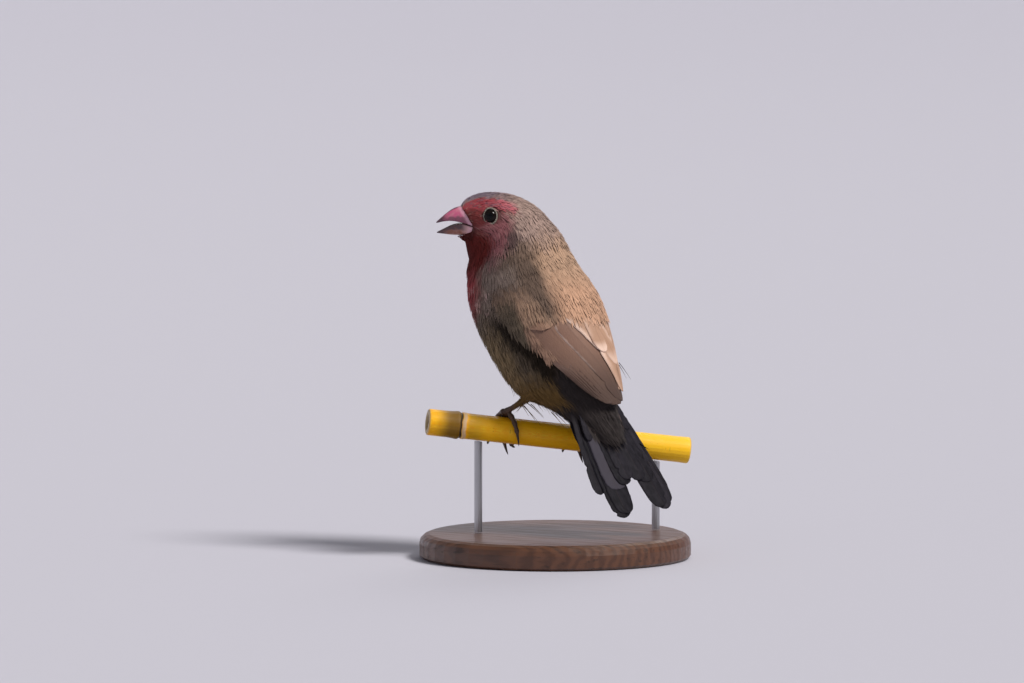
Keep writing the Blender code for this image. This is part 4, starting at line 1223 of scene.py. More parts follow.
def wing_place(surface, line, lift, tilt, width):
    """Where the points of a wing feather lie whose middle runs along the line of (distance, degrees)."""
    first, last = line[0][0], line[-1][0]

    def place(q, v, h, slant):
        s = first + (last - first) * q + slant * 0.6
        middle = np.radians(read(line, s))
        for _ in range(2):
            near, far = np.radians(read(line, s - 0.8)), np.radians(read(line, s + 0.8))
            middle = (near + far + middle) / 3
        _, dv = metric(surface, s, middle)
        rise = lift[0] + (lift[1] - lift[0]) * smooth((s - 10) / 8.5) + tilt * (v + width / 2) + h
        return surface.at(s, middle + v / dv, rise)

    return place


# Tertials from the back outwards: width, lift, fringe, and the middle's line as distance and degrees.
# The left wing's lie over the right wing's.
TERTIALS = {
    "left": (
        (5.4, 1.3, 0.3, ((11, 12), (16, 10.5), (20, 9), (25.2, 5))),
        (6.0, 1.2, 0.5, ((9, 20), (14, 18), (20, 3), (24, -5), (28.6, -12))),
        (6.8, 1.08, 0.8, ((10, 36), (16, 26), (20.5, 12), (24, 2), (28.5, -10), (31.5, -16), (35.6, -20))),
    ),
    "right": (
        (5.4, 0.96, 0.3, ((11, 6), (16, 6), (24, 8))),
        (6.0, 0.88, 0.5, ((9, 10), (16, 10), (24, 10), (29, 8))),
        (6.8, 0.8, 0.6, ((9, 22), (18, 20), (26, 16), (35, 10))),
    ),
}
# Lower edge of the uppermost flight feather, as distance and degrees
UPPER_EDGE = ((8, 60), (14, 55), (20, 48), (26, 35), (30, 27), (34, 20), (39, 8))
FLIGHTS = (  # tip's distance, width, and share of the way from the upper edge to the wing's edge
    (38.0, 9.0, 0.0), (38.5, 7.8, 0.28), (38.6, 7.0, 0.47), (38.6, 6.4, 0.62), (38.4, 5.8, 0.75),
    (38.2, 5.4, 0.87), (37.6, 5.0, 0.97), (36.8, 4.8, 1.05), (35.8, 4.6, 1.12),
)
COVERTS = (  # tip's distance, middle's degrees at root and tip, tone and fringe
    (17.4, 66, 66, 0.96, 0.8), (17.8, 60, 61, 1.0, 0.2), (17.6, 54, 57.5, 1.6, 0.3),
)
# Heights of the small feathers' roots and tips over the wing, by distance from the shoulder
COVERT_ROOTS = ((-3.5, -1.1), (0.0, -0.9), (4.0, -0.3), (8.0, 0.35), (12.0, 0.7))
COVERT_TIPS = ((-3.5, -0.2), (0.0, 0.0), (4.0, 0.7), (8.0, 1.4), (13.0, 1.4))


def flight_line(surface, start, tip, width, share):
    """The middle line of a flight feather whose lower edge lies between the two lower edges."""
    s = np.linspace(start, tip, 12)
    upper = read(UPPER_EDGE, s)
    lower = upper + (np.degrees(surface.low_edge(s)) - upper) * share
    _, dv = metric(surface, s, np.radians(lower))
    return np.column_stack([s, lower - np.degrees(0.5 * width / dv)])


def make_wing(side_name, side):
    """A folded wing: flight feathers, tertials, a few large coverts and soft lesser coverts."""
    rng = draws(11 if side > 0 else 23)
    surface = WingSurface(side)
    make_vanes(side_name, surface, rng)
    make_coverts(side_name, surface, rng)


def make_vanes(side_name, surface, rng):
    """The flight feathers, tertials and large coverts of a wing."""
    colours = settings().plumage
    parts, tertials = [], []
    for width, lift, fringe, line in TERTIALS[side_name]:
        place = wing_place(surface, line, (0.0, lift), 0.015, width)
        tone = np.clip(0.5 + rng.normal(0, 0.12), 0, 1)
        tertials.append(plume(place, width, 0.1, tone, fringe, rng, 40, TERTIAL_SHAPE))
    base = 0.66 if surface.side > 0 else 0.42
    for k, (tip, width, share) in enumerate(FLIGHTS):
        line = flight_line(surface, 8.0 + 0.5 * k, tip + rng.normal(0, 0.1), width, share)
        lift = base - 0.05 * k + (0.08 if k == 0 else 0.0)
        place = wing_place(surface, line, (-0.5, lift), 0.03, width)
        tone = 0.12 if k == 0 else np.clip(0.5 + rng.normal(0, 0.1), 0, 1)
        parts.append(plume(place, width, 0.09, tone, 0.6 if k == 0 else 0.2, rng, 40, skew=0.25))
    for k, (tip, root_turn, tip_turn, tone, fringe) in enumerate(COVERTS):
        line, lift, width = ((8, root_turn), (tip, tip_turn)), base + 0.26 + 0.05 * k, 5.0
        place = wing_place(surface, line, (-0.5, lift), 0.02, width)
        parts.append(plume(place, width, 0.09, tone, fringe, rng, 24, COVERT_SHAPE, skew=0.1))
    edge = colours.wing_edge
    # The flight feathers get painted shade towards their ends, over the wing's tip
    flight = flight_material("wing_feathers_" + side_name, colours.wing, edge, colours.wing_warm, painted_end_shade=0.74)
    tan = flight_material(
        "tertials_" + side_name, colours.tertial, edge, colours.mantle, rim=(0.3, 0.95), crescent=0.8
    )
    plume_piece("flight_" + side_name, parts, flight, ("wing_" + side_name,))
    plume_piece("tertials_" + side_name, tertials, tan, ())


def make_coverts(side_name, surface, rng):
    """The small feathers over a wing's shoulder, and a ragged strip of them along its lower edge."""
    def wanted(s, a):
        """The shoulder down to the tertials and large coverts, and the strip."""
        low, turn = np.degrees(surface.low_edge(s)), np.degrees(a)
        end = 13.2 - 1.2 * smooth((turn - 30) / 10) - 1.6 * smooth((turn - 50) / 5)
        end = end + 1.4 * smooth((turn - 67) / 4)
        strip = (turn > low - 6) & (s > 13) & (s < 24)
        return (turn < low + 3 - 3 * smooth((s - 12) / 4)) & ((s < end) | strip)

    u, v = scatter(surface, (-3.5, 27.0), (math.radians(-6), math.radians(100)), even(1.0), wanted, rng)
    turn = np.degrees(v)
    back = smooth((34 - turn) / 14) * smooth((u - 10) / 5)
    strip = smooth((u - 15) / 4) * smooth((turn - 40) / 10)
    outer = smooth((turn - 18) / 16) * smooth((u - 6) / 5)
    length = (4.8 + 1.0 * smooth(u / 12) + 1.2 * back) * (1 - 0.3 * strip) + rng.normal(0, 0.3, len(u))
    low = read(COVERT_ROOTS, u) - 0.3 * outer - 0.2 * strip
    high = read(COVERT_TIPS, u) + 0.1 * back - 0.45 * outer - 0.1 * strip
    part = fans(
        surface, u, v, length, 0.56 * length, 9, (0.2 + 0.065 * length) * (1 - 0.2 * back),
        low, high + rng.normal(0, 0.05, len(u)), rng.normal(0, 0.07, len(u)), rng,
        0.05 + 0.1 * back + 0.06 * strip,
    )
    part = spotted(part, (rng.random(len(u)) < 0.3) & (back > 0.5), 0.22)
    coat_piece("coat_wing_" + side_name, part, coverts_material())


def wing_markings_group():
    """Colour of the wing's small feathers from their distance down it and their turn from the back."""
    names = ("mantle", "mantle_low_highlight", "scapular", "lesser", "flank", "breast_side", "wing")
    board, given, out, colour = colour_group("wing markings", "Run", names)
    mix, step, times = board.mix, board.step, board.times
    wobble = board.minus(board.noise(given["Place"], 0.5, 3.0), 0.5)
    run = board.plus(given["Run"], times(wobble, 2.0))
    turn = board.plus(given["Turn"], times(wobble, 10.0))
    bound = board.plus(turn, times(run, 1.65))  # the scapulars end at 76
    # Towards the back's end the tan is warmer, its own colour, and paler, a painted highlight where light
    # falls
    tone = mix(step(run, 2.0, 13.0), colour["mantle"], colour["mantle_low_highlight"])
    tone = mix(times(step(turn, 32.0, 50.0), step(run, 19.5, 14.0)), tone, colour["scapular"])
    lesser = times(step(bound, 70.0, 84.0), step(turn, 36.0, 46.0))
    tone = mix(times(lesser, step(run, 4.0, 12.0)), tone, colour["lesser"])
    far = times(step(run, 15.0, 19.0), step(turn, 36.0, 46.0))
    tone = mix(times(far, 0.6), tone, colour["wing"])
    tone = mix(times(step(turn, 60.0, 76.0), step(run, 7.0, 2.5)), tone, colour["breast_side"])
    low = times(step(turn, 73.0, 80.0), step(run, 6.0, 12.0))
    board.feed(out["Colour"], mix(low, tone, colour["flank"]))
    return board.tree


# Tail


def tail_axes():
    along = np.array([0, math.cos(TAIL_SLOPE), -math.sin(TAIL_SLOPE)])
    level_up = np.array([0, math.sin(TAIL_SLOPE), math.cos(TAIL_SLOPE)])
    across = np.array([math.cos(TAIL_ROLL), 0, 0]) - level_up * math.sin(TAIL_ROLL)
    up = level_up * math.cos(TAIL_ROLL) + np.array([math.sin(TAIL_ROLL), 0, 0])
    return along, across, up, np.array([0, *TAIL_ROOT])


def tail_place(x, turn, start, length, height, tilt, drop=0.0):
    """Where the points of a tail feather lie that leaves the root x to one side."""
    along, across, up, root = tail_axes()
    a = math.radians(turn)
    way = along * math.cos(a) + across * math.sin(a)
    wide = across * math.cos(a) - along * math.sin(a)
    outer = 1 if x >= 0 else -1

    def place(q, v, h, slant):
        run = start + (length - start) * q + slant
        p = root + across * x + run[:, None] * way + v[:, None] * wide
        arch = 0.006 * ((p - root) @ across) ** 2 + drop * q
        return p + (height - arch + tilt * v * outer + h)[:, None] * up

    return place


def make_tail():
    """Twelve tail feathers, six a side, under soft upper and lower coverts."""
    rng = draws(41)
    parts = []
    for half, side in SIDES:
        for i, (x, tip, length, width) in enumerate(TAIL_FEATHERS[half]):
            turn = math.degrees(math.atan2(tip - x, length))
            low = 0.7 - 0.4 * TAIL_STEP * i - (0.1 if side < 0 else 0.0)
            reach = math.hypot(tip - x, length) + rng.normal(0, 0.1)
            place = tail_place(side * x, side * turn, 3.0, reach, low, 0.05)
            tone = 1.55 if (half, i) == ("left", 2) else np.clip(0.15 + rng.normal(0, 0.1), 0, 1)
            parts.append(plume(place, width, 0.13, tone, 0.4, rng, 34, TAIL_SHAPE, 1, 0.2 * side))
        place = tail_place(side * 3.4, side * 13.5, 2.0, 14.2, 1.3, 0.1, 0.6)
        parts.append(plume(place, 3.0, 0.16, 0.35, 0.6, rng, 20, TERTIAL_SHAPE, 2))
        for i in range(3):
            x, turn, length = side * (0.8 + 1.4 * i), side * (2 + 4 * i), 20.0 - 2.5 * i
            place = tail_place(x, turn, 4.0, length, -3.5, 0.05, -1.0)
            parts.append(plume(place, 4.2, 0.16, 0.5, 0.3, rng, 20, notches=2))
    dark, edge, pale = settings().plumage.tail, paint(50, 48, 57), paint(72, 68, 77)
    finish = flight_material("tail_feathers", dark, edge, pale, 90.0, (0.86, 1.0), 0.08)
    plume_piece("tail_feathers", parts, finish, ("tail",))
    for name, face, span, rows in (("above", 1, 6.4, (-1.5, 11.0)), ("below", -1, 5.0, (2.0, 15.5))):
        surface = TailSurface(face)
        u, v = scatter(
            surface, rows, (-span, span), even(1.0), lambda a, b: np.abs(b) < 3.8 + 0.25 * a, rng
        )
        keep = rng.random(len(u)) > 0.75 * smooth((u - rows[1] + 5) / 5)
        u, v = u[keep], v[keep]
        length = 6.6 + rng.normal(0, 0.9, len(u)) + 1.6 * smooth((u - 4) / 5)
        part = fans(
            surface, u, v, length, 0.42 * length, 8, 0.12 + 0.035 * length, np.full(len(u), -0.5),
            rng.normal(0.15, 0.1, len(u)), 0.03 * v + rng.normal(0, 0.07, len(u)), rng, 0.09,
        )
        part = spotted(marked(part, 17.6, 20.0), (rng.random(len(u)) < 0.2) & (u > 5), 0.2)
        coat_piece("coat_tail_" + name, part)


class TailSurface:
    """The root of the tail from above (face 1) or below (face -1), by run and distance from its middle."""

    def __init__(self, face):
        self.face = face

    def at(self, u, v, out=0.0):
        along, across, up, root = tail_axes()
        above = np.interp(u, [-2, 4, 9, 13, 20], [3.0, 2.7, 2.1, 1.4, 0.6]) - 0.035 * v**2
        below = np.interp(u, [0, 6, 12, 20], [-4.4, -4.0, -3.3, -2.4]) + 0.03 * v**2
        height = (above if self.face > 0 else below) + self.face * out
        return root + u[:, None] * along + v[:, None] * across + height[:, None] * up

    straight = at

    def atlas(self, u, v):
        return np.column_stack([(0.6 if self.face > 0 else 0.8) + v / 100, 0.1 + u / 100])


# Reed


def view_axes():
    a = math.pi - VIEW_YAW
    return np.array([math.cos(a), math.sin(a), 0]), np.array([-math.sin(a), math.cos(a), 0])


def perch_axes():
    """Unit vectors along the reed, up from its bark and towards its far side."""
    across, away = view_axes()
    level = math.cos(PERCH_SWING) * across + math.sin(PERCH_SWING) * away
    along = math.cos(PERCH_DIP) * level + np.array([0, 0, -math.sin(PERCH_DIP)])
    up = unit(np.array([0, 0, 1.0]) - along * along[2])
    far = np.cross(up, along)
    if np.dot(far, away) < 0:
        far = -far
    return along, up, far


def perch_point(a, turn, radius):
    """A point a along the reed, turned round it in degrees from its top towards its far side."""
    along, up, far = perch_axes()
    angle = np.radians(turn)
    return PERCH_MID + along * a + radius * (up * np.cos(angle) + far * np.sin(angle))


def reed_material():
    """Golden bark with long fibres, amber stains, a brown joint, a pale sheath scar and painted light that
    makes one end paler.
    """
    colours = settings().perch
    made, board, shader = new_material("reed_bark", 0.36, specular=0.25)
    mix, step, times = board.mix, board.step, board.times
    a, around = board.attribute("along"), board.attribute("around")

    def stretched(run, turn, shift):
        return board.join(times(a, run), times(around, turn), shift)

    fibre_place = stretched(0.12, 9.0, 0.0)
    fibre = board.noise(fibre_place, 6.0, 5.0, 0.6)
    stain = board.noise(stretched(0.1, 0.7, 3.0), 1.4, 3.0)
    speck = board.noise(stretched(1.6, 5.0, 7.0), 2.2, 2.0)
    colour = mix(step(fibre, 0.35, 0.7), colours.bark, colours.bark_pale_and_lit_end)
    colour = mix(step(stain, 0.5, 0.75, 0.0, 0.6), colour, colours.bark_deep)
    # Painted light: the bark is painted paler from 8 to 26 mm along, where light falls on that end
    colour = mix(step(a, 8.0, 26.0, 0.0, 0.6), colour, colours.bark_pale_and_lit_end)
    colour = mix(step(speck, 0.7, 0.76, 0.0, 0.5), colour, colours.joint)
    # Bands at the joint, by their distance from it
    off = board.plus(board.minus(a, PERCH_JOINT), times(board.minus(stain, 0.5), 1.2))
    shade = times(step(off, -7.0, -2.0), step(off, 0.9, 0.2))
    colour = mix(times(shade, 0.85), colour, colours.joint)
    groove = times(step(off, 0.1, 0.45), step(off, 1.0, 0.7))
    colour = mix(groove, colour, (0.03, 0.02, 0.012))
    colour = mix(times(step(off, 0.8, 1.15), step(off, 2.1, 1.7)), colour, colours.scar)
    green = times(step(off, 2.0, 3.0), step(off, 7.5, 4.0, 0.0, 0.35))
    colour = mix(green, colour, (0.16, 0.13, 0.02))
    pith = mix(board.noise(fibre_place, 20.0, 2.0), (0.62, 0.5, 0.3), (0.34, 0.24, 0.12))
    colour = mix(board.attribute("cut"), colour, pith)
    board.feed(shader["Roughness"], step(fibre, 0.2, 0.8, 0.28, 0.5))
    board.finish(shader, colour, board.plus(fibre, times(speck, 0.4)), 0.3, 0.0002)
    return made


def make_perch():
    """The cut reed: a fluted bark, a swollen joint with its scar, and hollow sawn ends."""
    r, j = PERCH_RADIUS, PERCH_JOINT
    bore, deep = 1.9, 3.2
    start, end = PERCH_FROM, PERCH_TO
    profile = [  # radius, place along the reed, and how far the surface is cut
        (0.0, start + deep, 1), (bore * 0.8, start + deep, 1), (bore, start + 0.5, 1),
        (bore + 0.1, start, 1), (r - 0.25, start, 1), (r - 0.02, start + 0.15, 0.4),
        (r + 0.03, start + 0.5, 0), (r + 0.05, j - 2.5, 0), (r + 0.14, j - 1.3, 0), (r + 0.24, j - 0.5, 0),
        (r + 0.24, j + 0.05, 0), (r + 0.1, j + 0.3, 0), (r - 0.12, j + 0.55, 0), (r - 0.08, j + 0.8, 0),
        (r + 0.1, j + 1.0, 0), (r + 0.11, j + 1.6, 0), (r, j + 2.1, 0), (r - 0.02, j + 4.0, 0),
        *((r - 0.02, a, 0) for a in np.linspace(j + 7, end - 3, 12)),
        (r + 0.05, end - 0.5, 0), (r, end - 0.15, 0.4), (r - 0.25, end, 1), (bore + 0.1, end, 1),
        (bore, end - 0.5, 1), (bore * 0.8, end - deep, 1), (0.0, end - deep, 1),
    ]
    profile, columns = np.array(profile), 96
    angle = 360 * np.arange(columns) / columns
    rng = np.random.default_rng(5)
    flute = 0.015 * np.sin(np.radians(angle) * 23 + 1) + rng.normal(0, 0.012, columns)
    rings = []
    for radius, a, cut in profile[1:-1]:
        girth = radius + flute * (1 - cut) * (radius > 2.5)
        rings.append(np.array([perch_point(a, t, g) for t, g in zip(angle, girth)]))
    rows = len(rings)
    points, triangles = capped(np.array(rings), rows, columns)
    floors = profile[[0, -1], 1]  # how deep the hollows reach
    points[-2], points[-1] = (perch_point(a, 0, 0) for a in floors)
    along = by_ring(profile[1:-1, 1], columns, floors)
    cut = by_ring(profile[1:-1, 2], columns, [1, 1])
    turn = np.radians(angle)
    around = by_column(np.sin(turn) * 0.7 + np.cos(turn * 2) * 0.3, rows, [0, 0]) * 1.6
    marks = {"along": along, "around": around, "cut": cut}
    reed = solid("reed", points, outward(points, triangles), marks)
    finish_piece(reed, reed_material(), ("perch_reed",))


# Bill

BILL_UPPER = [  # ridge (y, z), edge (y, z) and half width, from inside the face to the tip
    ((-19.4, 88.4), (-16.9, 83.1), 4.3),
    ((-21.8, 87.8), (-18.9, 82.95), 4.45),
    ((-24.0, 87.0), (-21.7, 83.65), 3.2),
    ((-25.6, 85.9), (-24.3, 84.02), 2.1),
    ((-27.0, 84.7), (-26.4, 83.8), 1.1),
    ((-28.2, 83.62), (-28.1, 83.36), 0.22),
]
BILL_LOWER = [  # edge, underside and half width
    ((-17.2, 82.4), (-17.4, 79.9), 4.2),
    ((-19.0, 82.62), (-19.3, 80.15), 4.3),
    ((-21.6, 83.25), (-21.8, 80.3), 3.25),
    ((-24.0, 82.9), (-24.1, 80.4), 2.1),
    ((-26.2, 81.95), (-26.3, 80.65), 1.1),
    ((-28.0, 81.12), (-28.05, 80.88), 0.2),
]


def bill_material(name, upper):
    """Horn: rosy sides, slate ridge, edge and tip, and a pale rim where the skin begins."""
    colours = settings().head
    made, board, shader = new_material(
        name, 0.34, specular=0.35, coat_weight=0.1, coat_roughness=0.2
    )
    mix, step, times = board.mix, board.step, board.times
    along, around = board.attribute("along"), board.attribute("around")
    cloud = board.noise(board.place(), 700.0, 4.0, 0.6)
    side = colours.bill_pink if upper else colours.bill_lower
    colour = mix(step(cloud, 0.35, 0.75, 0.0, 0.45), side, colours.gape)
    wobble = times(board.minus(cloud, 0.5), 0.35)
    frayed_along, frayed_around = board.plus(along, wobble), board.plus(around, wobble)
    if upper:
        ridge, tip = step(frayed_around, 0.42, 0.16), step(frayed_along, 0.45, 0.8)
        dark = board.math("MAXIMUM", ridge, tip)
        dark = board.math("MAXIMUM", dark, times(step(frayed_around, 0.86, 0.98), 0.7))
        colour = mix(times(dark, 0.9), colour, colours.bill_dark)
    else:
        dark = board.math("MAXIMUM", step(frayed_along, 0.5, 0.85), step(frayed_around, 0.86, 0.99))
        colour = mix(times(dark, 0.85), colour, colours.bill_dark)
        flesh = times(step(along, 0.3, 0.08), step(around, 0.25, 0.6))
        colour = mix(flesh, colour, colours.gape)
    cere = step(board.plus(along, times(wobble, 0.3)), 0.16, 0.05)
    colour = mix(times(cere, 0.7), colour, paint(222, 176, 190))
    colour = mix(board.attribute("inside"), colour, colours.mouth)
    ring = board.noise(board.join(times(along, 30.0), times(around, 3.0), 0.0), 1.5, 3.0)
    board.finish(shader, colour, ring, 0.12, 0.0002)
    return made


def jaw(name, stations, upper, node):
    """A jaw from its root in the face to its tip: ridged outside, hollow and dark within."""
    rows = np.array([[*ridge, *edge, w] for ridge, edge, w in stations])
    count, arc = 36, 33
    t = np.linspace(0, len(rows) - 1, count)
    row = spline(rows, t)
    top, low, width = row[:, 0:2], row[:, 2:4], row[:, 4]
    edge, ridge = (low, top) if upper else (top, low)
    a = np.linspace(0, np.pi, arc)
    lift = np.sin(a) ** 0.85
    edge, depth = edge[:, None, :], (ridge - edge)[:, None, :]
    outer_yz = edge + depth * lift[None, :, None]
    outer_x = width[:, None] * np.cos(a)[None, :] * (1 - 0.12 * lift)[None, :]
    x_in = np.linspace(-0.86, 0.86, 11)
    hollow = np.clip(1.15 - np.abs(x_in) ** 2.2 * 1.15, 0.02, 1) * 0.3
    inner_yz = edge + depth * hollow[None, :, None] * smooth(1.3 - t / t[-1])[:, None, None]
    inner_x = width[:, None] * x_in[None, :]
    outer = np.concatenate([outer_x[..., None], outer_yz], -1)
    inner = np.concatenate([inner_x[..., None], inner_yz], -1)
    columns = arc + len(x_in)
    points = turned(np.concatenate([outer, inner], 1).reshape(-1, 3))
    points, triangles = capped(points, count, columns)
    share = np.clip((t - 1) / (len(rows) - 2), 0, 1)
    within = np.ones(len(x_in))
    marks = {
        "along": by_ring(share, columns, [0, 1]),
        "around": by_column(np.concatenate([np.abs(np.cos(a)), within]), count, [1, 0]),
        "inside": by_column(np.concatenate([np.zeros(arc), within]), count, [1, 0]),
    }
    piece = solid(name, points, outward(points, triangles), marks)
    finish_piece(piece, bill_material(name, upper), (node,))


# Eyes


def eye_material():
    """A wet eyeball, nearly black, with a faintly warm iris about the pupil."""
    made, board, shader = new_material(
        "eye_wet", 0.1, specular=0.1, coat_weight=0.08, coat_roughness=0.02
    )
    streak = board.noise(board.mapped(board.place(), (3000, 3000, 3000)), 1.0, 2.0)
    iris = board.mix(streak, settings().head.iris, (0.012, 0.007, 0.006))
    board.finish(shader, board.mix(board.attribute("iris"), (0.003, 0.003, 0.004), iris))
    return made


def lid_material():
    """The bare grey green skin of the lids."""
    made, board, shader = new_material("eye_ring_skin", 0.6, specular=0.3)
    grain = board.noise(board.place(), 4000.0, 2.0)
    board.finish(shader, board.mix(grain, settings().head.eye_ring, paint(84, 76, 70)), grain)
    return made


def lid_tree():
    """Instances small beads round a circle: the papillae of the bare eye ring."""
    tree = bpy.data.node_groups.new("lid beads", "GeometryNodeTree")
    for key, kind, value in (
        ("Radius", "NodeSocketFloat", 0.002), ("Bead", "NodeSocketFloat", 0.0003),
        ("Count", "NodeSocketInt", 40), ("Seed", "NodeSocketInt", 3),
        ("Material", "NodeSocketMaterial", None),
    ):
        socket = tree.interface.new_socket(key, in_out="INPUT", socket_type=kind)
        if value is not None:
            socket.default_value = value
    tree.interface.new_socket("Geometry", in_out="OUTPUT", socket_type="NodeSocketGeometry")
    node, link = tree.nodes.new, tree.links.new
    given, out = node("NodeGroupInput"), node("NodeGroupOutput")
    circle = node("GeometryNodeMeshCircle")
    link(given.outputs["Count"], circle.inputs["Vertices"])
    link(given.outputs["Radius"], circle.inputs["Radius"])
    bead = node("GeometryNodeMeshIcoSphere")
    bead.inputs["Subdivisions"].default_value = 2
    link(given.outputs["Bead"], bead.inputs["Radius"])
    chance = node("FunctionNodeRandomValue")
    chance.data_type = "FLOAT"
    chance.inputs[2].default_value = 0.8
    chance.inputs[3].default_value = 1.25
    link(given.outputs["Seed"], chance.inputs["Seed"])
    place = node("GeometryNodeInstanceOnPoints")
    link(circle.outputs["Mesh"], place.inputs["Points"])
    link(bead.outputs["Mesh"], place.inputs["Instance"])
    link(chance.outputs[1], place.inputs["Scale"])
    real, shade = node("GeometryNodeRealizeInstances"), node("GeometryNodeSetShadeSmooth")
    paintwork = node("GeometryNodeSetMaterial")
    link(place.outputs[0], real.inputs[0])
    link(real.outputs[0], shade.inputs[0])
    link(shade.outputs[0], paintwork.inputs[0])
    link(given.outputs["Material"], paintwork.inputs["Material"])
    link(paintwork.outputs[0], out.inputs[0])
    return tree


def run_tree(tree, name, values):
    """The plain mesh that a Geometry Nodes tree makes with the given inputs."""
    holder = placed(name + "_maker", bpy.data.meshes.new(name))
    modifier = holder.modifiers.new("maker", "NODES")
    modifier.node_group = tree
    for item in tree.interface.items_tree:
        if item.in_out == "INPUT" and item.name in values:
            modifier[item.identifier] = values[item.name]
    mesh = evaluated_mesh(holder)
    holder.modifiers.remove(modifier)
    bpy.data.objects.remove(holder)
    return placed(name, mesh)


EYE_LIFT = 0.35  # the eye is set a little higher than its solid, in millimetres
LID_ROWS = ((1.88, 0.14, 60, 1.12), (2.04, 0.12, 68, 0.95))  # radius, bead, beads, distance from the middle


def eye_frame(side_name, side):
    """Centre of the eyeball in metres, the direction it looks and its radius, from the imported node."""
    low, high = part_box("eye_" + side_name)
    centre = np.array((low + high) / 2) + np.array([0, 0, EYE_LIFT * MM])
    middle, sideways, ahead = turned(np.array([[0.0, 0.0, 0.0], [side, 0.0, 0.0], [0.0, -30.0, 0.0]]))
    out = unit(sideways - middle + np.array([0, 0, 0.08]) + 0.12 * unit(ahead))
    return centre, out, max(high - low) / 2


def make_eyes():
    """Wet eyeballs in rings of small pale beads."""
    finish, ring_skin, tree = eye_material(), lid_material(), lid_tree()
    for side_name, side in SIDES:
        centre, out, radius = eye_frame(side_name, side)
        rows, columns = 40, 48
        polar = np.pi * np.linspace(0.02, 0.98, rows)
        a = circle(columns)
        one = unit(np.cross(out, (0, 0, 1.0)))
        two = np.cross(out, one)
        ring = np.cos(a)[:, None] * one + np.sin(a)[:, None] * two
        shape = np.cos(polar)[:, None, None] * out + np.sin(polar)[:, None, None] * ring[None]
        points, triangles = capped(shape * radius / MM + centre / MM - BIRD_PLACE, rows, columns)
        iris = smooth((polar - 0.35) / 0.1) * smooth((1.1 - polar) / 0.2)
        iris = {"iris": by_ring(iris, columns, [0, 0])}
        ball = solid("eyeball_" + side_name, points, outward(points, triangles), iris)
        finish_piece(ball, finish, ("eye_" + side_name,))
        for row, (reach, bead, count, sink) in enumerate(LID_ROWS):
            sizes = {"Radius": reach * MM, "Bead": bead * MM, "Count": count}
            sizes |= {"Seed": 3 + row, "Material": ring_skin}
            lid = run_tree(tree, f"eye_ring_{side_name}_{row}", sizes)
            turn = Vector(out).to_track_quat("Z", "Y").to_matrix().to_4x4()
            oval = Matrix.Diagonal((0.86, 1.04, 1.0, 1.0))
            lid.data.transform(Matrix.Translation(Vector(centre + out * sink * MM)) @ turn @ oval)
            finish_piece(lid, ring_skin)


# Legs and feet

TOES = {
    # along the reed at root and end, degrees round the reed, hanging length, claw length
    "inner": (-0.5, -3.0, 138, 0.0, 2.6),
    "middle": (0.1, 0.6, 112, 3.4, 3.0),
    "outer": (0.6, 2.9, 150, 0.0, 2.4),
    "hind": (0.5, 2.6, -86, 0.0, 4.2),
}


def leg_material():
    """Dark scutes with paler seams, read from each point's own shade."""
    colours = settings().legs
    made, board, shader = new_material("leg_scutes", 0.42, specular=0.4)
    cloud = board.noise(board.place(), 1800.0, 3.0)
    colour = board.mix(board.step(cloud, 0.35, 0.75, 0.0, 0.6), colours.skin, paint(58, 44, 40))
    colour = board.mix(board.times(board.attribute("seam"), 0.7), colour, colours.seam)
    colour = board.mix(board.attribute("horn"), colour, colours.claw)
    board.finish(shader, colour, cloud, 0.25)
    return made


def scaled_tube(path, radii, scute, horn, up_hint):
    """A leg or toe with overlapping scutes on its upper side, pads beneath and a smooth claw."""
    path = np.asarray(path)
    gap = np.concatenate([[0], np.cumsum(np.linalg.norm(np.diff(path, axis=0), axis=1))])
    rows, columns = int(gap[-1] / 0.085), 20
    at = np.linspace(0, gap[-1], rows)
    fine = np.column_stack([np.interp(at, gap, path[:, k]) for k in range(3)])
    for _ in range(6):
        fine[1:-1] = (fine[:-2] + 2 * fine[1:-1] + fine[2:]) / 4
    girth = np.interp(at, gap, radii)
    horny = np.interp(at, gap, horn)
    phase = (at / scute) % 1.0
    middle = fine[:, None, :]
    way = tube_points(fine, np.ones(rows), columns) - middle
    hint = np.array([up_hint(p) for p in fine])
    upward = np.einsum("rck,rk->rc", way, unit(hint))
    plate = (0.10 * (phase**0.7) - 0.04)[:, None] * smooth((upward + 0.35) / 0.6)
    pad = 0.09 * np.sin(np.pi * ((at / (scute * 1.9)) % 1.0))[:, None] * smooth((-upward - 0.2) / 0.5)
    swell = 1 + (plate + pad) * (1 - horny)[:, None]
    points, triangles = capped(middle + way * (girth[:, None] * swell)[..., None], rows, columns)
    seam = by_ring(smooth((phase - 0.86) / 0.14) * (1 - horny), columns, [0, 0])
    return points, outward(points, triangles), seam, by_ring(horny, columns, horny[[0, -1]])


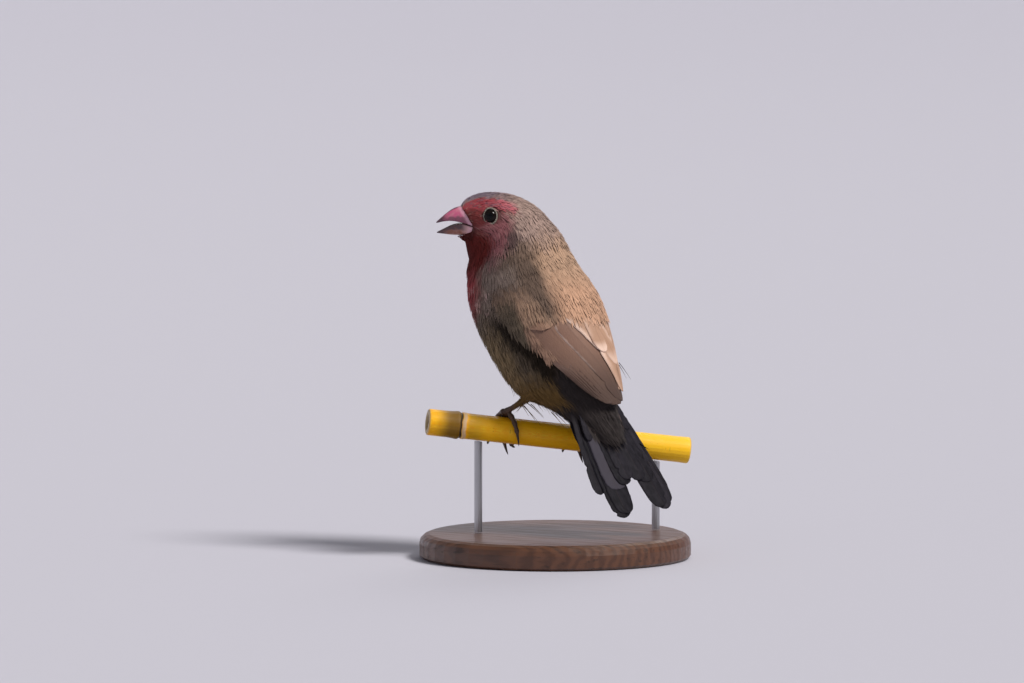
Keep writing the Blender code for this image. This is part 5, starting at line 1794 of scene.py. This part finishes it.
def toe(foot_at, spec):
    """A toe wrapped round the reed, with knuckles and a curved claw."""
    root, end, sweep, hang, claw = spec
    ring = PERCH_RADIUS + TOUCH + TOE_RADIUS + 0.12
    path, radii, horn = [], [], []
    bends = 14
    for i in range(bends + 1):
        f = i / bends
        swell = 1.0 + 0.15 * math.cos(3 * 2 * math.pi * f)
        rise = (1 - float(smooth(f * 3))) * (FOOT_RISE - 0.55)
        path.append(perch_point(foot_at + root + (end - root) * f, sweep * f, ring + rise - 0.22))
        radii.append(TOE_RADIUS * swell * (1.02 - 0.25 * f))
        horn.append(0.0)
    if hang:
        way = unit(unit(path[-1] - path[-2]) + np.array([0, 0, -0.9]) + 0.45 * perch_axes()[0])
        for i in (1, 2):
            path.append(path[-1] + way * hang / 3)
            radii.append(TOE_RADIUS * (1.3 - 0.32 * i))  # the last knuckle, then the claw's root
            horn.append(0.0)
    way = unit(path[-1] - path[-2])
    inward = -unit(path[-1] - perch_point(foot_at + end, 0, 0))
    bend = 0.14 if hang else 0.22
    steps = 8
    for i in range(1, steps + 1):
        f = i / steps
        way = unit(way + inward * bend / 2)
        path.append(path[-1] + way * claw / steps)
        radii.append(TOE_RADIUS * (0.54 * (1 - f) ** 0.7 + 0.06))
        horn.append(min(1.0, 2.5 * f))
    along = perch_axes()[0]

    def outwards(p):
        off = p - PERCH_MID
        return off - along * np.dot(off, along)

    return scaled_tube(path, radii, 0.62, horn, outwards)


def make_feet():
    """Scuted shanks, feet and claws of both legs."""
    finish = leg_material()
    for side_name in FEET:
        foot, rise, bare = leg_line(side_name)
        path = [foot - rise * 0.2, foot + rise * 0.9, foot + rise * 2.0, foot + rise * (bare + 1.2)]
        radii = [0.95, 0.82, SHANK_RADIUS, SHANK_RADIUS * 1.1]
        shank = scaled_tube(path, radii, 1.1, [0, 0, 0, 0], lambda p: np.array([0.0, -1.0, 0.6]))
        parts = [shank] + [toe(FEET[side_name][0], spec) for spec in TOES.values()]
        points, triangles, seam, horn = merged(parts)
        piece = solid("foot_and_shank_" + side_name, points, triangles, {"seam": seam, "horn": horn})
        finish_piece(piece, finish, ("foot_" + side_name, "leg_" + side_name))


# Stand


def wood_material():
    """Oiled wood with rings and pores that run across the turned base."""
    colours = settings().stand
    made, board, shader = new_material(
        "stand_wood", 0.38, specular=0.45, coat_weight=0.15, coat_roughness=0.3
    )
    lie = (0.1, 0.0, 0.5)  # how the grain is turned
    ring = board.node("ShaderNodeTexWave", wave_type="BANDS", bands_direction="X")
    board.feed(ring.inputs["Vector"], board.mapped(board.place(), (60, 6, 60), lie))
    for key, v in (("Scale", 2.6), ("Distortion", 7.0), ("Detail", 5.0), ("Detail Scale", 1.6)):
        ring.inputs[key].default_value = v
    pore = board.noise(board.mapped(board.place(), (900, 60, 900), lie), 1.0, 3.0)
    grain = board.step(ring.outputs["Fac"], 0.0, 1.0, 0.1, 0.75)
    colour = board.mix(grain, colours.wood, colours.wood_dark)
    colour = board.mix(board.step(pore, 0.55, 0.75, 0.0, 0.6), colour, (0.012, 0.007, 0.005))
    board.feed(shader["Roughness"], board.step(pore, 0.3, 0.8, 0.32, 0.55))
    board.finish(shader, colour, pore, 0.2, 0.0002)
    return made


def steel_material():
    made, board, shader = new_material("stand_steel", 0.34, metallic=1.0)
    scratch = board.noise(board.mapped(board.place(), (900, 900, 60)), 1.0, 3.0)
    board.feed(shader["Roughness"], board.step(scratch, 0.2, 0.8, 0.3, 0.42))
    board.finish(shader, board.mix(scratch, (0.5, 0.5, 0.51), (0.4, 0.4, 0.42)))
    return made


def make_stand():
    """Gives the solids of the stand their wood and steel."""
    paint_over(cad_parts["stand_base"], wood_material())
    steel = steel_material()
    for name in ("stand_rod_left", "stand_rod_right"):
        paint_over(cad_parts[name], steel)


# Studio


def make_floor():
    """A pale round floor that sweeps up to its backdrop, turned from a profile."""
    flat, bend, top = 2.6, 0.8, 1.4
    profile = [(0.0, 0.0), (flat, 0.0)]
    for a in np.linspace(0.15, math.pi / 2, 10):
        profile.append((flat + bend * math.sin(a), bend - bend * math.cos(a)))
    profile.append((flat + bend, top))
    mesh = bpy.data.meshes.new("studio_floor")
    steps = [(i, i + 1) for i in range(len(profile) - 1)]
    mesh.from_pydata([(x, 0, z - 0.0002) for x, z in profile], steps, [])
    floor = placed("studio_floor", mesh)
    screw = floor.modifiers.new("round", "SCREW")
    screw.steps = screw.render_steps = 96
    screw.use_merge_vertices, screw.merge_threshold = True, 0.0001
    floor.data = evaluated_mesh(floor)
    floor.modifiers.clear()
    floor.data.shade_smooth()
    made, board, shader = new_material("studio_paper", 0.9, specular=0.1)
    grain = board.step(board.noise(board.place(), 3.0, 2.0), 0.3, 0.7, 0.0, 0.06)
    board.finish(shader, board.mix(grain, settings().stand.floor, paint(190, 188, 200)))
    floor.data.materials.append(made)


def make_camera(across, away):
    """The photo's view, from far off so that it is nearly flat."""
    lift = math.radians(5)
    look = away * math.cos(lift) - Vector((0, 0, math.sin(lift)))
    frame_shift = -8.25 * MM  # the bird stands right of the picture's middle
    target = across * frame_shift + Vector(BIRD_PLACE) * MM + Vector((0, 0, 53.9 * MM))
    distance = 2.8
    camera = bpy.data.cameras.new("camera")
    camera.lens = camera.sensor_width * distance / settings().stand.span
    camera.clip_end = 20
    eye = placed("camera", camera)
    eye.location = target - look * distance
    eye.rotation_euler = look.to_track_quat("-Z", "Y").to_euler()
    bpy.context.scene.camera = eye


def make_stage():
    """The floor, the camera, soft lights and a pale air."""
    make_floor()
    across, away = (Vector(v) for v in view_axes())
    make_camera(across, away)
    sun("key", across * 0.8 - away * 0.5 + Vector((0, 0, 1.1)), 3.3, 18, (1.0, 0.97, 0.93))
    sun("fill", -across * 0.8 - away * 0.9 + Vector((0, 0, 0.6)), 0.12, 50, (0.95, 0.97, 1.0))
    sun("rim", across * 0.2 + away * 0.9 + Vector((0, 0, 0.8)), 0.5, 30, (1.0, 0.98, 0.95))
    world = bpy.data.worlds.new("studio_air")
    bpy.context.scene.world = world
    world.use_nodes = True
    air = world.node_tree.nodes["Background"].inputs
    air["Color"].default_value = (0.97, 0.97, 1.0, 1)
    air["Strength"].default_value = 0.2
    bpy.context.scene.view_settings.view_transform = "Standard"


def sun(name, towards, strength, spread, colour):
    """A broad far light from the direction towards which it stands, spread in degrees."""
    lamp = bpy.data.lights.new(name, "SUN")
    lamp.angle, lamp.energy, lamp.color = math.radians(spread), strength, colour
    holder = placed(name, lamp)
    holder.location = towards
    holder.rotation_euler = towards.to_track_quat("Z", "Y").to_euler()


# Operators


class BuildStage(bpy.types.Operator):
    """Make the floor, the lights and the camera"""

    bl_idname = "firefinch.stage"
    bl_label = "Studio"

    def execute(self, context):
        make_stage()
        return {"FINISHED"}


class BuildSkin(bpy.types.Operator):
    """Make the skin under the feathers"""

    bl_idname = "firefinch.skin"
    bl_label = "Skin"

    def execute(self, context):
        make_skin()
        return {"FINISHED"}


class BuildCoat(bpy.types.Operator):
    """Make the small feathers of the body and the boots"""

    bl_idname = "firefinch.coat"
    bl_label = "Coat"

    def execute(self, context):
        make_coat()
        make_boots_coat()
        make_wisps()
        return {"FINISHED"}


class BuildWings(bpy.types.Operator):
    """Make the flight feathers and coverts of both wings"""

    bl_idname = "firefinch.wings"
    bl_label = "Wings"

    def execute(self, context):
        for side_name, side in SIDES:
            make_wing(side_name, side)
        return {"FINISHED"}


class BuildTail(bpy.types.Operator):
    """Make the tail feathers and their coverts"""

    bl_idname = "firefinch.tail"
    bl_label = "Tail"

    def execute(self, context):
        make_tail()
        return {"FINISHED"}


class BuildBill(bpy.types.Operator):
    """Make the two jaws"""

    bl_idname = "firefinch.bill"
    bl_label = "Bill"

    def execute(self, context):
        jaw("bill_upper_horn", BILL_UPPER, True, "bill_upper")
        jaw("bill_lower_horn", BILL_LOWER, False, "bill_lower")
        return {"FINISHED"}


class BuildEyes(bpy.types.Operator):
    """Make the eyes and their rings"""

    bl_idname = "firefinch.eyes"
    bl_label = "Eyes"

    def execute(self, context):
        make_eyes()
        return {"FINISHED"}


class BuildFeet(bpy.types.Operator):
    """Make the shanks, toes and claws"""

    bl_idname = "firefinch.feet"
    bl_label = "Feet"

    def execute(self, context):
        make_feet()
        return {"FINISHED"}


class BuildPerch(bpy.types.Operator):
    """Make the cut reed"""

    bl_idname = "firefinch.perch"
    bl_label = "Reed"

    def execute(self, context):
        make_perch()
        return {"FINISHED"}


class BuildStand(bpy.types.Operator):
    """Finish the display stand"""

    bl_idname = "firefinch.stand"
    bl_label = "Stand"

    def execute(self, context):
        make_stand()
        return {"FINISHED"}


STEPS = (
    BuildStage, BuildSkin, BuildCoat, BuildWings, BuildTail,
    BuildBill, BuildEyes, BuildFeet, BuildPerch, BuildStand,
)


class FirefinchPanel(bpy.types.Panel):
    """Lists the model's pieces and settings"""

    bl_idname = "VIEW3D_PT_firefinch"
    bl_label = "Firefinch"
    bl_space_type = "VIEW_3D"
    bl_region_type = "UI"
    bl_category = "Firefinch"

    def draw(self, context):
        for step in STEPS:
            self.layout.operator(step.bl_idname)
        for part in ("plumage", "head", "legs", "perch", "stand"):
            group = getattr(context.scene.firefinch, part)
            box = self.layout.box()
            box.label(text=part.capitalize())
            for key in group.bl_rna.properties.keys():
                if key not in ("rna_type", "name"):
                    box.prop(group, key)


CLASSES = (
    FirefinchPlumage, FirefinchHead, FirefinchLegs, FirefinchPerch, FirefinchStand, FirefinchSettings,
    *STEPS, FirefinchPanel,
)


def register():
    for cls in CLASSES:
        bpy.utils.register_class(cls)
    bpy.types.Scene.firefinch = PointerProperty(type=FirefinchSettings)


def unregister():
    del bpy.types.Scene.firefinch
    for cls in reversed(CLASSES):
        bpy.utils.unregister_class(cls)


def main():
    register()
    for step in STEPS:
        area, name = step.bl_idname.split(".")
        getattr(getattr(bpy.ops, area), name)()


if __name__ == "__main__":
    main()
